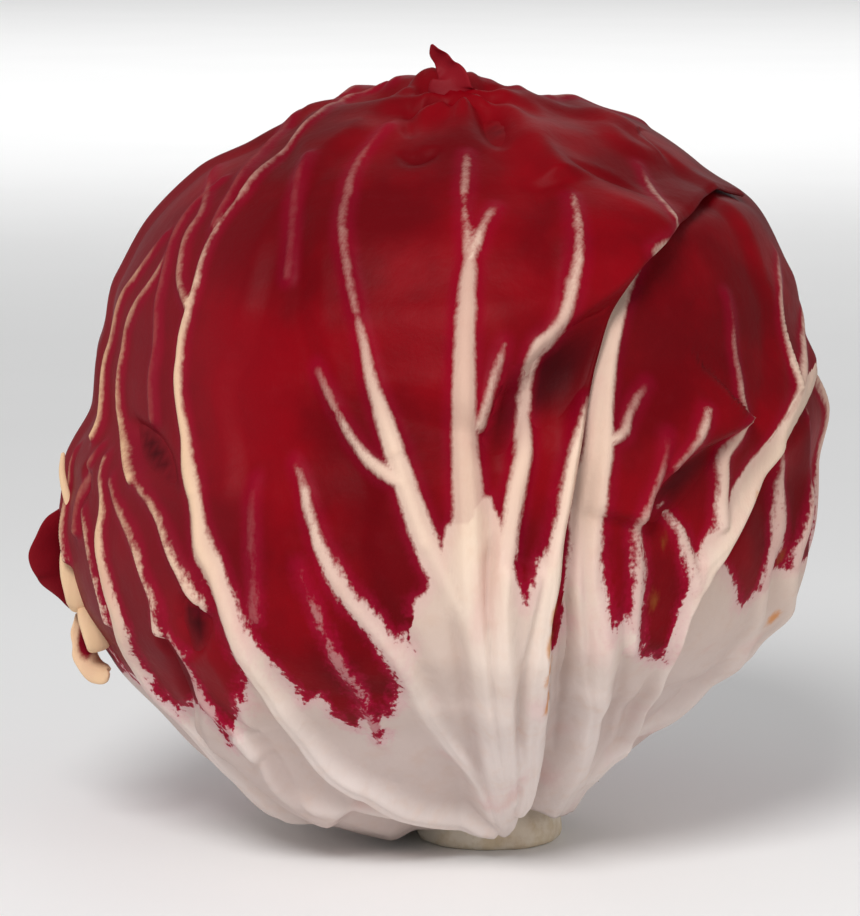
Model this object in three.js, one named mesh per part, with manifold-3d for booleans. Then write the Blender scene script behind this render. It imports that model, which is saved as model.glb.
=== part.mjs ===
// A round radicchio head, as picked and trimmed, standing on its cut stem.
// Millimetres, +Z up. The origin is the centre of the stem's cut face, and -Y is the side shown in the photograph.
// Every leaf is a thin closed blade, laid over the leaves inside it. Its surfaces are radii over directions from
// the head's centre, so a leaf steps up where it passes over the margin of one below.
import * as THREE from 'three';
import { mergeVertices } from 'three/addons/utils/BufferGeometryUtils.js';
import Module from 'manifold-3d';

// Driving dimensions
const MM_PER_PX = 0.157;
const CENTRE = [-7, 4, 59];
const CENTRE_PX = [445, 462];
const CAMERA_DISTANCE = 700;
const CAMERA_ELEVATION = 8;
const MEAN_RADIUS = 60;
// The head's outer radius each 10 degrees, from straight down to straight up, on its left and right sides
const RADIUS_LEFT = [57, 60, 61.3, 61.4, 60.4, 59.8, 61, 61.8, 61.3, 59.6, 57.2, 57.8, 59.4, 60.4, 60.2, 59.2, 59.4,
  59.6, 59.8];
const RADIUS_RIGHT = [57, 55.8, 54, 53, 52.8, 53.5, 56, 58.6, 59.2, 59.3, 60, 60.8, 62, 62.6, 62.2, 61.2, 60.2, 59.8,
  59.8];
const RADIUS_STEP = 10;

const LEAF_GAP = 0.8;
const BLADE_THICKNESS = 0.9;
const BASE_THICKNESS = 1.8;
const MARGIN_THICKNESS = 0.65;
const COVER_FULL = 6;
const COVER_END = 17;
// An outer leaf presses a lower one flat out to a little past its own margin
const PRESS_FULL = 1;
const PRESS_END = 7;
const COVER_SOFT = 14;
// Hidden margins wave in and out by this many degrees, with a point each few degrees
const MARGIN_WAVE = 2;
const MARGIN_STEP = 7;
// A leaf's end bows out by this many degrees in its middle
const END_BOW = 9;
const FLOOR = 0;
// What a leaf keeps clear of the pieces inside it where their flat faces would meet
const CLEARANCE = 0.25;

const STEM_RADIUS = 11.5;
const STEM_TOP = 15.6;
const HEART_CUT = 16;

const RIBBON_SIDES = 10;

const rad = (degrees) => degrees * Math.PI / 180;
const deg = (radians) => radians * 180 / Math.PI;
const add = (a, b, k = 1) => [a[0] + b[0] * k, a[1] + b[1] * k, a[2] + b[2] * k];
const sub = (a, b) => add(a, b, -1);
const scale = (a, k) => [a[0] * k, a[1] * k, a[2] * k];
const dot = (a, b) => a[0] * b[0] + a[1] * b[1] + a[2] * b[2];
const cross = (a, b) => [a[1] * b[2] - a[2] * b[1], a[2] * b[0] - a[0] * b[2], a[0] * b[1] - a[1] * b[0]];
const unit = (a) => scale(a, 1 / Math.hypot(...a));
const clamp = (x, low, high) => Math.min(high, Math.max(low, x));
const smooth = (low, high, x) => {
  const f = clamp((x - low) / (high - low), 0, 1);
  return f * f * (3 - 2 * f);
};

// A steady pseudo-random number from 0 to 1 for each whole number
const draw = (seed) => {
  const x = Math.sin(seed * 12.9898 + 4.1) * 43758.5453;
  return x - Math.floor(x);
};

// The direction from the head's centre to the point that shows at a pixel of the photograph
const VIEW_UP = [0, Math.sin(rad(CAMERA_ELEVATION)), Math.cos(rad(CAMERA_ELEVATION))];
const TO_CAMERA = [0, -Math.cos(rad(CAMERA_ELEVATION)), Math.sin(rad(CAMERA_ELEVATION))];
function pixelDirection([px, py]) {
  const across = (px - CENTRE_PX[0]) * MM_PER_PX;
  const above = (CENTRE_PX[1] - py) * MM_PER_PX;
  const eye = scale(TO_CAMERA, CAMERA_DISTANCE);
  const ray = unit(add([across, 0, 0], add(scale(VIEW_UP, above), eye, -1)));
  const middle = -dot(eye, ray);
  const depth = MEAN_RADIUS ** 2 - CAMERA_DISTANCE ** 2 + middle ** 2;
  return unit(add(eye, ray, middle - Math.sqrt(Math.max(depth, 0))));
}

// The radius that the outermost leaf follows in a direction
function headRadius(dir) {
  const place = deg(Math.acos(clamp(-dir[2], -1, 1))) / RADIUS_STEP;
  const i = Math.min(Math.floor(place), RADIUS_LEFT.length - 2);
  const f = smooth(0, 1, place - i);
  const left = RADIUS_LEFT[i] * (1 - f) + RADIUS_LEFT[i + 1] * f;
  const right = RADIUS_RIGHT[i] * (1 - f) + RADIUS_RIGHT[i + 1] * f;
  const side = smooth(-0.9, 0.9, dir[0]);
  return left * (1 - side) + right * side;
}

// Where the front leaf is pinched into its tip
const TIP_FOOT_PX = [458, 104];

// A line of points on the sphere of mean radius, from pixels of the photograph or from places on a leaf
const pixelLine = (points) => points.map((p) => scale(pixelDirection(p), MEAN_RADIUS));

// Distance to a line, how far along it is the nearest point (0 to 1), and on which side
function nearest(line, dir) {
  const p = scale(dir, MEAN_RADIUS);
  let best = { distance: Infinity, along: 0, side: 1 };
  for (let i = 0; i + 1 < line.length; i += 1) {
    const step = sub(line[i + 1], line[i]);
    const f = clamp(dot(sub(p, line[i]), step) / dot(step, step), 0, 1);
    const off = sub(p, add(line[i], step, f));
    const distance = Math.hypot(...off);
    if (distance < best.distance) {
      const side = dot(cross(step, sub(p, line[i])), dir) > 0 ? 1 : -1;
      best = { distance, along: (i + f) / (line.length - 1), side };
    }
  }
  return best;
}

// A rib stands out along its line, thick and high at its root and fine at its end
function ribHeight(rib, dir) {
  const { distance, along } = nearest(rib.line, dir);
  const width = rib.width[0] * (1 - along) + rib.width[1] * along;
  const height = rib.height[0] * (1 - along) + rib.height[1] * along;
  return height * Math.exp(-((distance / width) ** 2));
}

// A fold is high on one side of its line, falls away slowly there, and drops at once on the other side
function foldHeight(fold, dir) {
  const { distance, along, side } = nearest(fold.line, dir);
  const ends = smooth(0, 0.15, along) * smooth(0, 0.12, 1 - along);
  const high = side === fold.highSide;
  return fold.height * ends * Math.exp(-((distance / (high ? fold.reach : fold.drop)) ** 2));
}

// Frame of a leaf: its middle line runs up the head from the stem, at a turn from -Y towards +X
const TO_STEM = unit(scale(CENTRE, -1));
function leafFrame(turn) {
  const out = [Math.sin(rad(turn)), -Math.cos(rad(turn)), 0];
  const middle = unit(add(out, TO_STEM, -dot(out, TO_STEM)));
  const side = cross(middle, TO_STEM);
  return { turn, middle, side: scale(side, dot(side, [Math.cos(rad(turn)), Math.sin(rad(turn)), 0]) > 0 ? 1 : -1) };
}
function leafDirection(frame, along, across) {
  const [s, t] = [rad(along), rad(across)];
  const inPlane = add(scale(TO_STEM, Math.cos(s)), frame.middle, Math.sin(s));
  return add(scale(inPlane, Math.cos(t)), frame.side, Math.sin(t));
}
function leafPlace(frame, dir) {
  const across = deg(Math.asin(clamp(dot(dir, frame.side), -1, 1)));
  const along = deg(Math.atan2(dot(dir, frame.middle), dot(dir, TO_STEM)));
  return [along < -90 ? along + 360 : along, across];
}

// A margin is a list of places [along, across], with the stretch that the photograph shows given in pixels
function marginLine(frame, parts) {
  const places = parts.flatMap((part) => (part.pixels
    ? part.pixels.map((p) => leafPlace(frame, pixelDirection(p)))
    : wavyStretch(part.places)));
  return places.sort((a, b) => a[0] - b[0]);
}
function wavyStretch(places) {
  if (places.length < 2) return places;
  const wavy = [];
  for (let s = places[0][0]; s < places[places.length - 1][0]; s += MARGIN_STEP) {
    const grown = smooth(25, 70, s);
    wavy.push([s, acrossAt(places, s) + grown * MARGIN_WAVE * Math.sin(s / 8 + places[0][1] + places[1][1])]);
  }
  return [...wavy, places[places.length - 1]];
}
function acrossAt(margin, along) {
  let i = 0;
  while (i + 2 < margin.length && margin[i + 1][0] < along) i += 1;
  const [a, b] = [margin[i], margin[i + 1]];
  return a[1] + (b[1] - a[1]) * clamp((along - a[0]) / (b[0] - a[0]), 0, 1);
}

// The leaves from the innermost outwards. Ribs run from root to end.
const RIB_WIDEN = 1.3;
const RIB_RAISE = 1.4;
const rib = (width, height, pixels) => ({ width: width.map((w) => w * RIB_WIDEN + 0.6),
  height: height.map((h) => h * RIB_RAISE), line: pixelLine(pixels) });
const fold = (height, reach, drop, highSide, pixels) => ({ height, reach, drop, highSide, line: pixelLine(pixels) });

// Ribs of a leaf that the photograph doesn't show: they spread from the root like a fan
function fanRibs(frame, seed, reach) {
  return [-3, -2, -1, 0, 1, 2, 3].map((k) => {
    const bend = 15 + 4 * draw(seed + k);
    const end = reach - 14 * Math.abs(k) - 10 * draw(seed + 20 + k);
    const places = [0, 0.25, 0.5, 0.75, 1].map((f) => [14 + (end - 14) * f, k * (2 + bend * f ** 0.8)
      + 3 * Math.sin(f * 5 + seed + k)]);
    const line = places.map(([s, t]) => scale(leafDirection(frame, s, t), MEAN_RADIUS));
    const main = k === 0 ? 1 : 0.7;
    return { width: [6 * main, 3.5], height: [2.4 * main, 1], line };
  });
}

const LEAVES = [];
function leaf(name, turn, settings) {
  const frame = leafFrame(turn);
  const left = marginLine(frame, settings.left);
  const right = marginLine(frame, settings.right);
  const [low, high] = settings.span;
  const item = { name, frame, left, right, low, high, folds: settings.folds ?? [], pinch: settings.pinch,
    wave: settings.wave ?? 0.5, cells: settings.cells };
  const steps = [...Array(OUTLINE_STEPS).keys()].map((i) => i / OUTLINE_STEPS);
  const edge = [...steps.map((f) => gridPlace(item, f, 1)), ...steps.map((f) => gridPlace(item, 1, 1 - f)),
    ...steps.map((f) => gridPlace(item, 1 - f, 0)), ...steps.map((f) => gridPlace(item, 0, f))];
  item.outline = [...edge, edge[0]].map(([s, t]) => scale(leafDirection(frame, s, t), MEAN_RADIUS));
  item.ribs = settings.ribs ?? fanRibs(frame, LEAVES.length * 50 + 7, high - 15);
  LEAVES.push(item);
}

// The place on a leaf at a share of its length and of its width there
const OUTLINE_STEPS = 16;
function endAt(item, share) {
  const bow = END_BOW * (4 * share * (1 - share) - 0.5);
  return item.high + bow + 0.25 * END_BOW * Math.sin(9 * share + item.frame.turn);
}
function gridPlace(item, length, width) {
  const along = item.low + (endAt(item, width) - item.low) * length;
  const [left, right] = [acrossAt(item.left, along), acrossAt(item.right, along)];
  return [along, left + (right - left) * width];
}

leaf('leaf_back', 205, { span: [15, 176], cells: [18, 18], wave: 0.8,
  left: [{ places: [[15, -14], [45, -48], [90, -68], [140, -60], [165, -34], [176, -20]] }],
  right: [{ places: [[15, 14], [45, 46], [90, 66], [140, 58], [165, 34], [176, 20]] }] });
leaf('leaf_back_left', -98, { span: [15, 180], cells: [18, 18], wave: 0.8,
  left: [{ places: [[15, -14], [45, -34], [90, -44], [140, -36], [165, -24], [180, -14]] }],
  right: [{ places: [[15, 14], [45, 44], [90, 62], [140, 54], [165, 34], [180, 20]] }] });
leaf('leaf_back_right', 138, { span: [15, 178], cells: [18, 18], wave: 1.1,
  left: [{ places: [[15, -14], [45, -48], [90, -72], [140, -60], [165, -30], [178, -18]] }],
  right: [{ places: [[15, 14], [45, 30], [90, 38], [140, 32], [165, 22], [178, 14]] }] });
leaf('leaf_right_under', 66, { span: [15, 150], cells: [14, 14], wave: 0.8,
  left: [{ places: [[15, -10], [45, -30], [90, -44], [130, -34], [150, -14]] }],
  right: [{ places: [[15, 10], [35, 15]] },
    { pixels: [[778, 625], [795, 575], [798, 520], [804, 480], [808, 420], [810, 383]] },
    { places: [[130, 22], [150, 12]] }],
  ribs: [rib([2.4, 0.8], [1.1, 0.4], [[560, 790], [680, 715], [735, 660], [766, 590], [778, 540], [778, 488], [783, 452]]),
    rib([2, 0.8], [1, 0.4], [[690, 705], [760, 640], [785, 575], [795, 523], [804, 473], [808, 410]])] });
leaf('leaf_right', 50, { span: [14.5, 184], cells: [22, 26],
  left: [{ places: [[14.5, -14], [40, -40], [80, -58], [140, -56], [170, -30], [184, -16]] }],
  right: [{ places: [[14.5, 12]] },
    { pixels: [[620, 748], [634, 728], [660, 686], [678, 648], [690, 610], [702, 583], [723, 555], [740, 522],
      [762, 487], [780, 447], [794, 420], [810, 375]] },
    { places: [[120, 52], [145, 48], [168, 30], [184, 14]] }],
  ribs: [
    rib([3.2, 1.1], [1.5, 0.7], [[545, 800], [579, 768], [588, 730], [596, 677], [594, 619], [588, 575], [589, 488],
      [595, 458], [599, 409], [605, 365], [614, 321], [623, 292], [631, 277], [650, 225]]),
    rib([1, 0.7], [0.6, 0.3], [[611, 438], [620, 432], [631, 406], [646, 383]]),
    rib([1.2, 0.6], [0.7, 0.3], [[630, 650], [634, 604], [637, 564], [634, 526], [640, 502], [652, 473], [661, 435]]),
    rib([3, 0.8], [1.5, 0.4], [[560, 795], [600, 760], [629, 736], [640, 721], [661, 686], [678, 648], [693, 604],
      [702, 569], [722, 546], [740, 517], [757, 482], [772, 458], [780, 429], [792, 400], [797, 350], [795, 289]]),
    rib([1, 0.6], [0.8, 0.3], [[792, 388], [783, 350], [778, 315], [778, 289], [776, 254]]),
    rib([1.4, 0.6], [0.9, 0.3], [[719, 523], [722, 488], [725, 458], [737, 438], [745, 418], [741, 394], [740, 377],
      [734, 327], [728, 292]]),
    rib([1.2, 0.7], [0.9, 0.4], [[692, 590], [687, 552], [678, 526], [653, 488]]),
    rib([1, 0.7], [0.7, 0.4], [[667, 467], [687, 444], [693, 432], [699, 412]]),
  ],
  folds: [fold(2.2, 9, 1, -1, [[745, 412], [737, 423], [693, 450], [672, 467], [652, 485], [640, 508], [634, 530]])] });
leaf('leaf_front', -20, { span: [13.5, 200], cells: [30, 38], pinch: true,
  left: [{ places: [[13.5, -12], [40, -55], [70, -76], [140, -72], [168, -46], [205, -26]] }],
  right: [{ places: [[13.5, 8]] },
    { pixels: [[529, 794], [541, 765], [550, 736], [548, 692], [551, 628], [561, 587], [562, 546], [573, 493],
      [577, 458], [585, 410], [590, 385], [598, 352], [606, 316], [625, 283], [652, 258], [693, 213], [728, 190]] }],
  ribs: [
    rib([3.4, 0.9], [1.7, 0.5], [[500, 806], [497, 800], [490, 752], [484, 689], [480, 626], [480, 521], [464, 458],
      [462, 409], [462, 350], [465, 292], [468, 263], [464, 234], [462, 193], [465, 158], [466, 117]]),
    rib([0.9, 0.5], [0.7, 0.3], [[468, 263], [477, 239], [485, 222], [499, 201], [515, 152]]),
    rib([2.2, 0.7], [1.3, 0.4], [[500, 790], [497, 720], [500, 660], [505, 600], [512, 520], [515, 458], [523, 438],
      [525, 394], [531, 353], [547, 342], [558, 321], [564, 292], [570, 263], [567, 204], [558, 175]]),
    rib([1, 0.6], [0.8, 0.3], [[640, 266], [652, 258], [664, 251], [669, 237], [664, 219], [652, 190], [640, 164]]),
    rib([2.4, 0.8], [1.4, 0.4], [[496, 795], [475, 720], [461, 647], [436, 595], [412, 563], [409, 500], [394, 450],
      [383, 418], [371, 380], [362, 336], [355, 312], [348, 277], [342, 228], [345, 193], [359, 155], [383, 128],
      [409, 111]]),
    rib([1.2, 0.6], [0.8, 0.3], [[400, 480], [385, 473], [365, 458], [350, 435], [333, 407], [321, 380], [314, 353]]),
    rib([2.2, 0.7], [1.4, 0.3], [[490, 800], [480, 760], [430, 707], [409, 669], [377, 628], [350, 590], [324, 555],
      [307, 505], [295, 467], [289, 444]]),
    rib([3.6, 0.9], [1.9, 0.5], [[485, 812], [430, 821], [380, 794], [350, 771], [321, 748], [292, 707], [263, 657],
      [234, 622], [216, 564], [204, 531], [195, 488], [188, 438], [183, 380], [181, 315], [190, 289], [210, 245],
      [245, 193], [272, 164]]),
    rib([1, 0.6], [0.8, 0.3], [[184, 304], [179, 269], [187, 242], [210, 204], [218, 158]]),
    rib([1.6, 0.7], [1.2, 0.4], [[201, 607], [187, 581], [169, 546], [152, 511], [131, 482], [123, 432], [118, 403],
      [120, 365], [124, 336], [137, 312], [149, 283], [159, 267]]),
    rib([1.6, 0.7], [1.2, 0.4], [[199, 707], [187, 672], [166, 634], [155, 604], [140, 566], [123, 526], [108, 493]]),
    rib([2.4, 0.9], [1.4, 0.5], [[300, 815], [200, 750], [146, 680], [126, 642], [111, 610], [101, 561], [98, 531],
      [102, 488], [102, 455]]),
    rib([1.1, 0.6], [0.8, 0.3], [[110, 640], [96, 587], [90, 552], [83, 511]]),
    rib([1.2, 0.7], [1, 0.4], [[98, 397], [96, 374], [101, 342], [114, 301], [128, 260], [143, 231]]),
    rib([3, 1.2], [1.6, 1.8], [[515, 790], [528, 740], [529, 690], [538, 620], [548, 570], [556, 530], [567, 480],
      [578, 430], [584, 402]]),
  ],
  folds: [
    fold(2.8, 16, 2, 1, [[478, 436], [484, 418], [493, 394], [506, 380], [523, 359], [538, 349], [558, 330],
      [576, 318], [605, 298], [634, 275], [652, 258], [670, 238], [693, 213], [710, 201], [735, 184]]),
    fold(2.2, 10, 1.5, 1, [[143, 560], [150, 600], [163, 643], [193, 704], [200, 724], [215, 737], [241, 760],
      [289, 789], [315, 802], [350, 809]]),
    fold(1.5, 6, 1.2, -1, [[536, 560], [533, 581], [523, 628], [515, 663], [507, 698], [507, 721], [512, 745],
      [515, 774]]),
    fold(1.6, 7, 1.2, 1, [[135, 405], [143, 432], [152, 452], [175, 482], [186, 505]]),
  ] });

// How far a direction lies outside a leaf's outline, in millimetres: negative within it
function outsideLeaf(item, dir) {
  const [s, t] = leafPlace(item.frame, dir);
  const [left, right] = [acrossAt(item.left, s), acrossAt(item.right, s)];
  const end = endAt(item, clamp((t - left) / (right - left), 0, 1));
  const within = s > item.low && s < end && t > left && t < right;
  return nearest(item.outline, dir).distance * (within ? -1 : 1);
}
const bladeThickness = (item, dir) => {
  const [s] = leafPlace(item.frame, dir);
  return BASE_THICKNESS + (BLADE_THICKNESS - BASE_THICKNESS) * smooth(20, 75, s);
};

// The packed inner leaves fill what the outer ones leave. Low ridges show their margins.
const HEART_RIDGES = 5;
const RIDGE_DEPTH = 0.35;
function heartRadius(dir) {
  let radius = headRadius(dir);
  for (const item of LEAVES) {
    const soft = 1 - smooth(-COVER_SOFT, COVER_SOFT, outsideLeaf(item, dir));
    radius -= soft * (bladeThickness(item, dir) + LEAF_GAP);
  }
  return radius;
}

// The front leaf is gathered round the foot of its tip: it rises there in pleats
const PINCH = { height: 2.6, reach: 6, pleats: 7, pleatHeight: 0.8, pleatReach: 14 };
function pinchHeight(dir) {
  const foot = pixelDirection(TIP_FOOT_PX);
  const off = sub(scale(dir, MEAN_RADIUS), scale(foot, MEAN_RADIUS));
  const reach = Math.hypot(...off);
  const turn = Math.atan2(off[0], dot(off, cross([1, 0, 0], foot)));
  const pleat = 1 + Math.sin(PINCH.pleats * turn);
  return PINCH.height * Math.exp(-((reach / PINCH.reach) ** 2))
    + PINCH.pleatHeight * pleat * smooth(0, 5, reach) * Math.exp(-((reach / PINCH.pleatReach) ** 2));
}

// A leaf's own relief: ribs, folds and a waved margin, flat where outer leaves press on it
function leafRelief(index, dir) {
  const item = LEAVES[index];
  let free = 1;
  for (const outer of LEAVES.slice(index + 1)) {
    free *= smooth(PRESS_FULL, PRESS_END, outsideLeaf(outer, dir));
  }
  if (free === 0) return { lift: 0, ribs: 0 };
  const [s, t] = leafPlace(item.frame, dir);
  const inside = -outsideLeaf(item, dir);
  const edge = 1 - smooth(0, 7, inside);
  const ends = smooth(item.low + 10, item.low + 30, s);
  const wave = item.wave * edge * ends * (1 + Math.sin(rad(s * 8 + t * 5) + index));
  const folds = item.folds.reduce((sum, one) => sum + foldHeight(one, dir), 0);
  const ribs = Math.max(...item.ribs.map((one) => ribHeight(one, dir)));
  const pinch = item.pinch ? pinchHeight(dir) : 0;
  return { lift: free * (wave + folds), ribs: free * ribs + pinch };
}

// Both surfaces of a leaf in a direction, as radii
function leafRadii(index, dir, atMargin) {
  const item = LEAVES[index];
  let under = heartRadius(dir) + LEAF_GAP;
  for (const lower of LEAVES.slice(0, index)) {
    const cover = 1 - smooth(COVER_FULL, COVER_END, outsideLeaf(lower, dir));
    under += cover * (bladeThickness(lower, dir) + LEAF_GAP);
  }
  const { lift, ribs } = leafRelief(index, dir);
  const inner = under + lift;
  const thickness = atMargin ? MARGIN_THICKNESS : bladeThickness(item, dir);
  return [inner, inner + thickness + (atMargin ? 0 : ribs)];
}

// The point at a radius in a direction, never below the surface that the head stands on
function surfacePoint(dir, radius, floor) {
  const reach = dir[2] < 0 ? (CENTRE[2] - floor) / -dir[2] : Infinity;
  return add(CENTRE, dir, Math.min(radius, reach));
}

// A closed mesh from a grid of outer and inner points, split alike on both faces
function bladeGeometry(outer, inner) {
  const rows = outer.length;
  const columns = outer[0].length;
  const positions = [];
  const index = [];
  const quad = (a, b, c, d) => index.push(a, b, c, a, c, d);
  for (const face of [outer, inner]) for (const row of face) for (const point of row) positions.push(...point);
  const at = (face, i, j) => face * rows * columns + i * columns + j;
  for (let i = 0; i + 1 < rows; i += 1) {
    for (let j = 0; j + 1 < columns; j += 1) {
      const corners = [[i, j], [i, j + 1], [i + 1, j + 1], [i + 1, j]];
      const [a, b, c, d] = corners.map(([r, q]) => at(0, r, q));
      const [e, f, g, h] = corners.map(([r, q]) => at(1, r, q));
      quad(a, b, c, d);
      index.push(e, g, f, e, h, g);
    }
  }
  const ring = [];
  for (let j = 0; j + 1 < columns; j += 1) ring.push([0, j]);
  for (let i = 0; i + 1 < rows; i += 1) ring.push([i, columns - 1]);
  for (let j = columns - 1; j > 0; j -= 1) ring.push([rows - 1, j]);
  for (let i = rows - 1; i > 0; i -= 1) ring.push([i, 0]);
  ring.forEach(([i, j], k) => {
    const [m, n] = ring[(k + 1) % ring.length];
    quad(at(0, m, n), at(0, i, j), at(1, i, j), at(1, m, n));
  });
  const geometry = new THREE.BufferGeometry();
  geometry.setAttribute('position', new THREE.Float32BufferAttribute(positions, 3));
  geometry.setIndex(index);
  return facingOut(geometry);
}

// Turns a closed mesh the right way round if its volume comes out negative
function facingOut(geometry) {
  const p = geometry.attributes.position;
  const corners = geometry.index.array;
  const point = (k) => [p.getX(corners[k]), p.getY(corners[k]), p.getZ(corners[k])];
  let volume = 0;
  for (let k = 0; k < corners.length; k += 3) volume += dot(point(k), cross(point(k + 1), point(k + 2)));
  if (volume < 0) {
    for (let k = 0; k < corners.length; k += 3) {
      [corners[k + 1], corners[k + 2]] = [corners[k + 2], corners[k + 1]];
    }
  }
  geometry.computeVertexNormals();
  return geometry;
}

// A leaf's closed blade. A grown one is larger by that much all round.
function leafGeometry(index, grow = 0) {
  const item = LEAVES[index];
  const [rows, columns] = item.cells;
  const wider = deg(grow / MEAN_RADIUS);
  const outer = [];
  const inner = [];
  for (let i = 0; i <= rows; i += 1) {
    const past = i === 0 ? -wider : (i === rows) * wider;
    const rows2 = [[], []];
    for (let j = 0; j <= columns; j += 1) {
      const beside = j === 0 ? -wider : (j === columns) * wider;
      const [along, across] = gridPlace(item, i / rows, j / columns);
      const dir = leafDirection(item.frame, along + past, across + beside);
      const atMargin = i === rows || j === 0 || j === columns;
      const radii = leafRadii(index, dir, atMargin);
      rows2[0].push(surfacePoint(dir, radii[1] + grow, FLOOR - grow));
      rows2[1].push(surfacePoint(dir, radii[0] - grow, FLOOR + MARGIN_THICKNESS + grow));
    }
    outer.push(rows2[0]);
    inner.push(rows2[1]);
  }
  return bladeGeometry(outer, inner);
}

// The packed inner leaves: a closed ball with a flat cut where they join the stem
const HEART_ROWS = 14;
const HEART_COLUMNS = 22;
function heartGeometry(grow = 0) {
  const positions = [0, 0, 0];
  const index = [];
  const ring = (i, j) => 1 + (i - 1) * HEART_COLUMNS + (j % HEART_COLUMNS);
  for (let i = 1; i < HEART_ROWS; i += 1) {
    for (let j = 0; j < HEART_COLUMNS; j += 1) {
      const turn = 360 * j / HEART_COLUMNS;
      const dir = leafDirection(leafFrame(turn), 180 * i / HEART_ROWS, 0);
      const swirl = Math.sin(rad(HEART_RIDGES * turn + 150 * i / HEART_ROWS));
      const reach = dir[2] < 0 ? (CENTRE[2] - HEART_CUT) / -dir[2] : Infinity;
      positions.push(...add(CENTRE, dir, Math.min(heartRadius(dir) - RIDGE_DEPTH * (1 - swirl), reach) + grow));
    }
  }
  const foot = (CENTRE[2] - HEART_CUT) / -TO_STEM[2];
  positions.splice(0, 3, ...add(CENTRE, TO_STEM, foot + grow));
  positions.push(...add(CENTRE, TO_STEM, RIDGE_DEPTH - grow - heartRadius(scale(TO_STEM, -1))));
  const last = positions.length / 3 - 1;
  for (let j = 0; j < HEART_COLUMNS; j += 1) {
    index.push(0, ring(1, j + 1), ring(1, j));
    index.push(last, ring(HEART_ROWS - 1, j), ring(HEART_ROWS - 1, j + 1));
    for (let i = 1; i + 1 < HEART_ROWS; i += 1) {
      index.push(ring(i, j), ring(i, j + 1), ring(i + 1, j + 1), ring(i, j), ring(i + 1, j + 1), ring(i + 1, j));
    }
  }
  const geometry = new THREE.BufferGeometry();
  geometry.setAttribute('position', new THREE.Float32BufferAttribute(positions, 3));
  geometry.setIndex(index);
  return facingOut(geometry);
}

// The cut stem: a short stub, leaning with the head, with a flat cut face
function stemGeometry(grow = 0) {
  const wide = STEM_RADIUS + grow;
  const profile = [[0, -grow], [wide - 0.6, -grow], [wide, 0.8], [wide, 4], [wide - 1, 9],
    [wide - 2, STEM_TOP + grow], [0, STEM_TOP + grow]].map(([x, y]) => new THREE.Vector2(x, y));
  const geometry = new THREE.LatheGeometry(profile, 28);
  geometry.rotateX(Math.PI / 2);
  const p = geometry.attributes.position;
  for (let k = 0; k < p.count; k += 1) {
    const z = p.getZ(k);
    p.setX(k, p.getX(k) + CENTRE[0] * z / CENTRE[2]);
    p.setY(k, p.getY(k) + CENTRE[1] * z / CENTRE[2]);
  }
  for (const name of ['normal', 'uv']) geometry.deleteAttribute(name);
  return facingOut(mergeVertices(geometry));
}

// A twisted ribbon along a route, with half-width, half-thickness and turn for each point of it
function ribbonGeometry(route, sides) {
  const positions = [];
  const index = [];
  const curve = new THREE.CatmullRomCurve3(route.map((stop) => new THREE.Vector3(...stop.at)));
  const steps = (route.length - 1) * 3;
  const value = (key, f) => {
    const place = f * (route.length - 1);
    const i = Math.min(Math.floor(place), route.length - 2);
    return route[i][key] * (1 - place + i) + route[i + 1][key] * (place - i);
  };
  for (let i = 0; i <= steps; i += 1) {
    const f = i / steps;
    const centre = curve.getPoint(f).toArray();
    const tangent = curve.getTangent(f).toArray();
    const flat = unit(cross(tangent, TO_CAMERA));
    const face = cross(flat, tangent);
    const turn = rad(value('turn', f));
    const wide = add(scale(flat, Math.cos(turn)), face, Math.sin(turn));
    const thin = cross(wide, tangent);
    for (let j = 0; j < sides; j += 1) {
      const a = 2 * Math.PI * j / sides;
      positions.push(...add(add(centre, wide, value('half', f) * Math.cos(a)), thin, value('thick', f) * Math.sin(a)));
    }
  }
  const first = positions.length / 3;
  positions.push(...route[0].at, ...route[route.length - 1].at);
  for (let j = 0; j < sides; j += 1) {
    const k = (j + 1) % sides;
    index.push(first, k, j, first + 1, steps * sides + j, steps * sides + k);
    for (let i = 0; i < steps; i += 1) {
      const [a, b] = [i * sides, (i + 1) * sides];
      index.push(a + j, a + k, b + k, a + j, b + k, b + j);
    }
  }
  const geometry = new THREE.BufferGeometry();
  geometry.setAttribute('position', new THREE.Float32BufferAttribute(positions, 3));
  geometry.setIndex(index);
  return facingOut(geometry);
}

const wasm = await Module();
wasm.setup();
function solid(geometry) {
  const bare = new THREE.BufferGeometry();
  bare.setAttribute('position', geometry.attributes.position);
  bare.setIndex(geometry.index);
  const merged = mergeVertices(bare);
  return new wasm.Manifold(new wasm.Mesh({ numProp: 3, vertProperties: new Float32Array(merged.attributes.position.array),
    triVerts: new Uint32Array(merged.index.array) }));
}
// Cuts a body clear of the pieces inside it and keeps its largest part
function clearOf(body, others) {
  let rest = body;
  for (const other of others) {
    if (rest.intersect(other).volume() > 0) rest = rest.subtract(other);
  }
  return rest.decompose().reduce((a, b) => (b.volume() > a.volume() ? b : a));
}
function geometryOf(body) {
  const { vertProperties, triVerts } = body.getMesh();
  const geometry = new THREE.BufferGeometry();
  geometry.setAttribute('position', new THREE.Float32BufferAttribute(vertProperties, 3));
  geometry.setIndex([...triVerts]);
  geometry.computeVertexNormals();
  return geometry;
}

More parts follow.
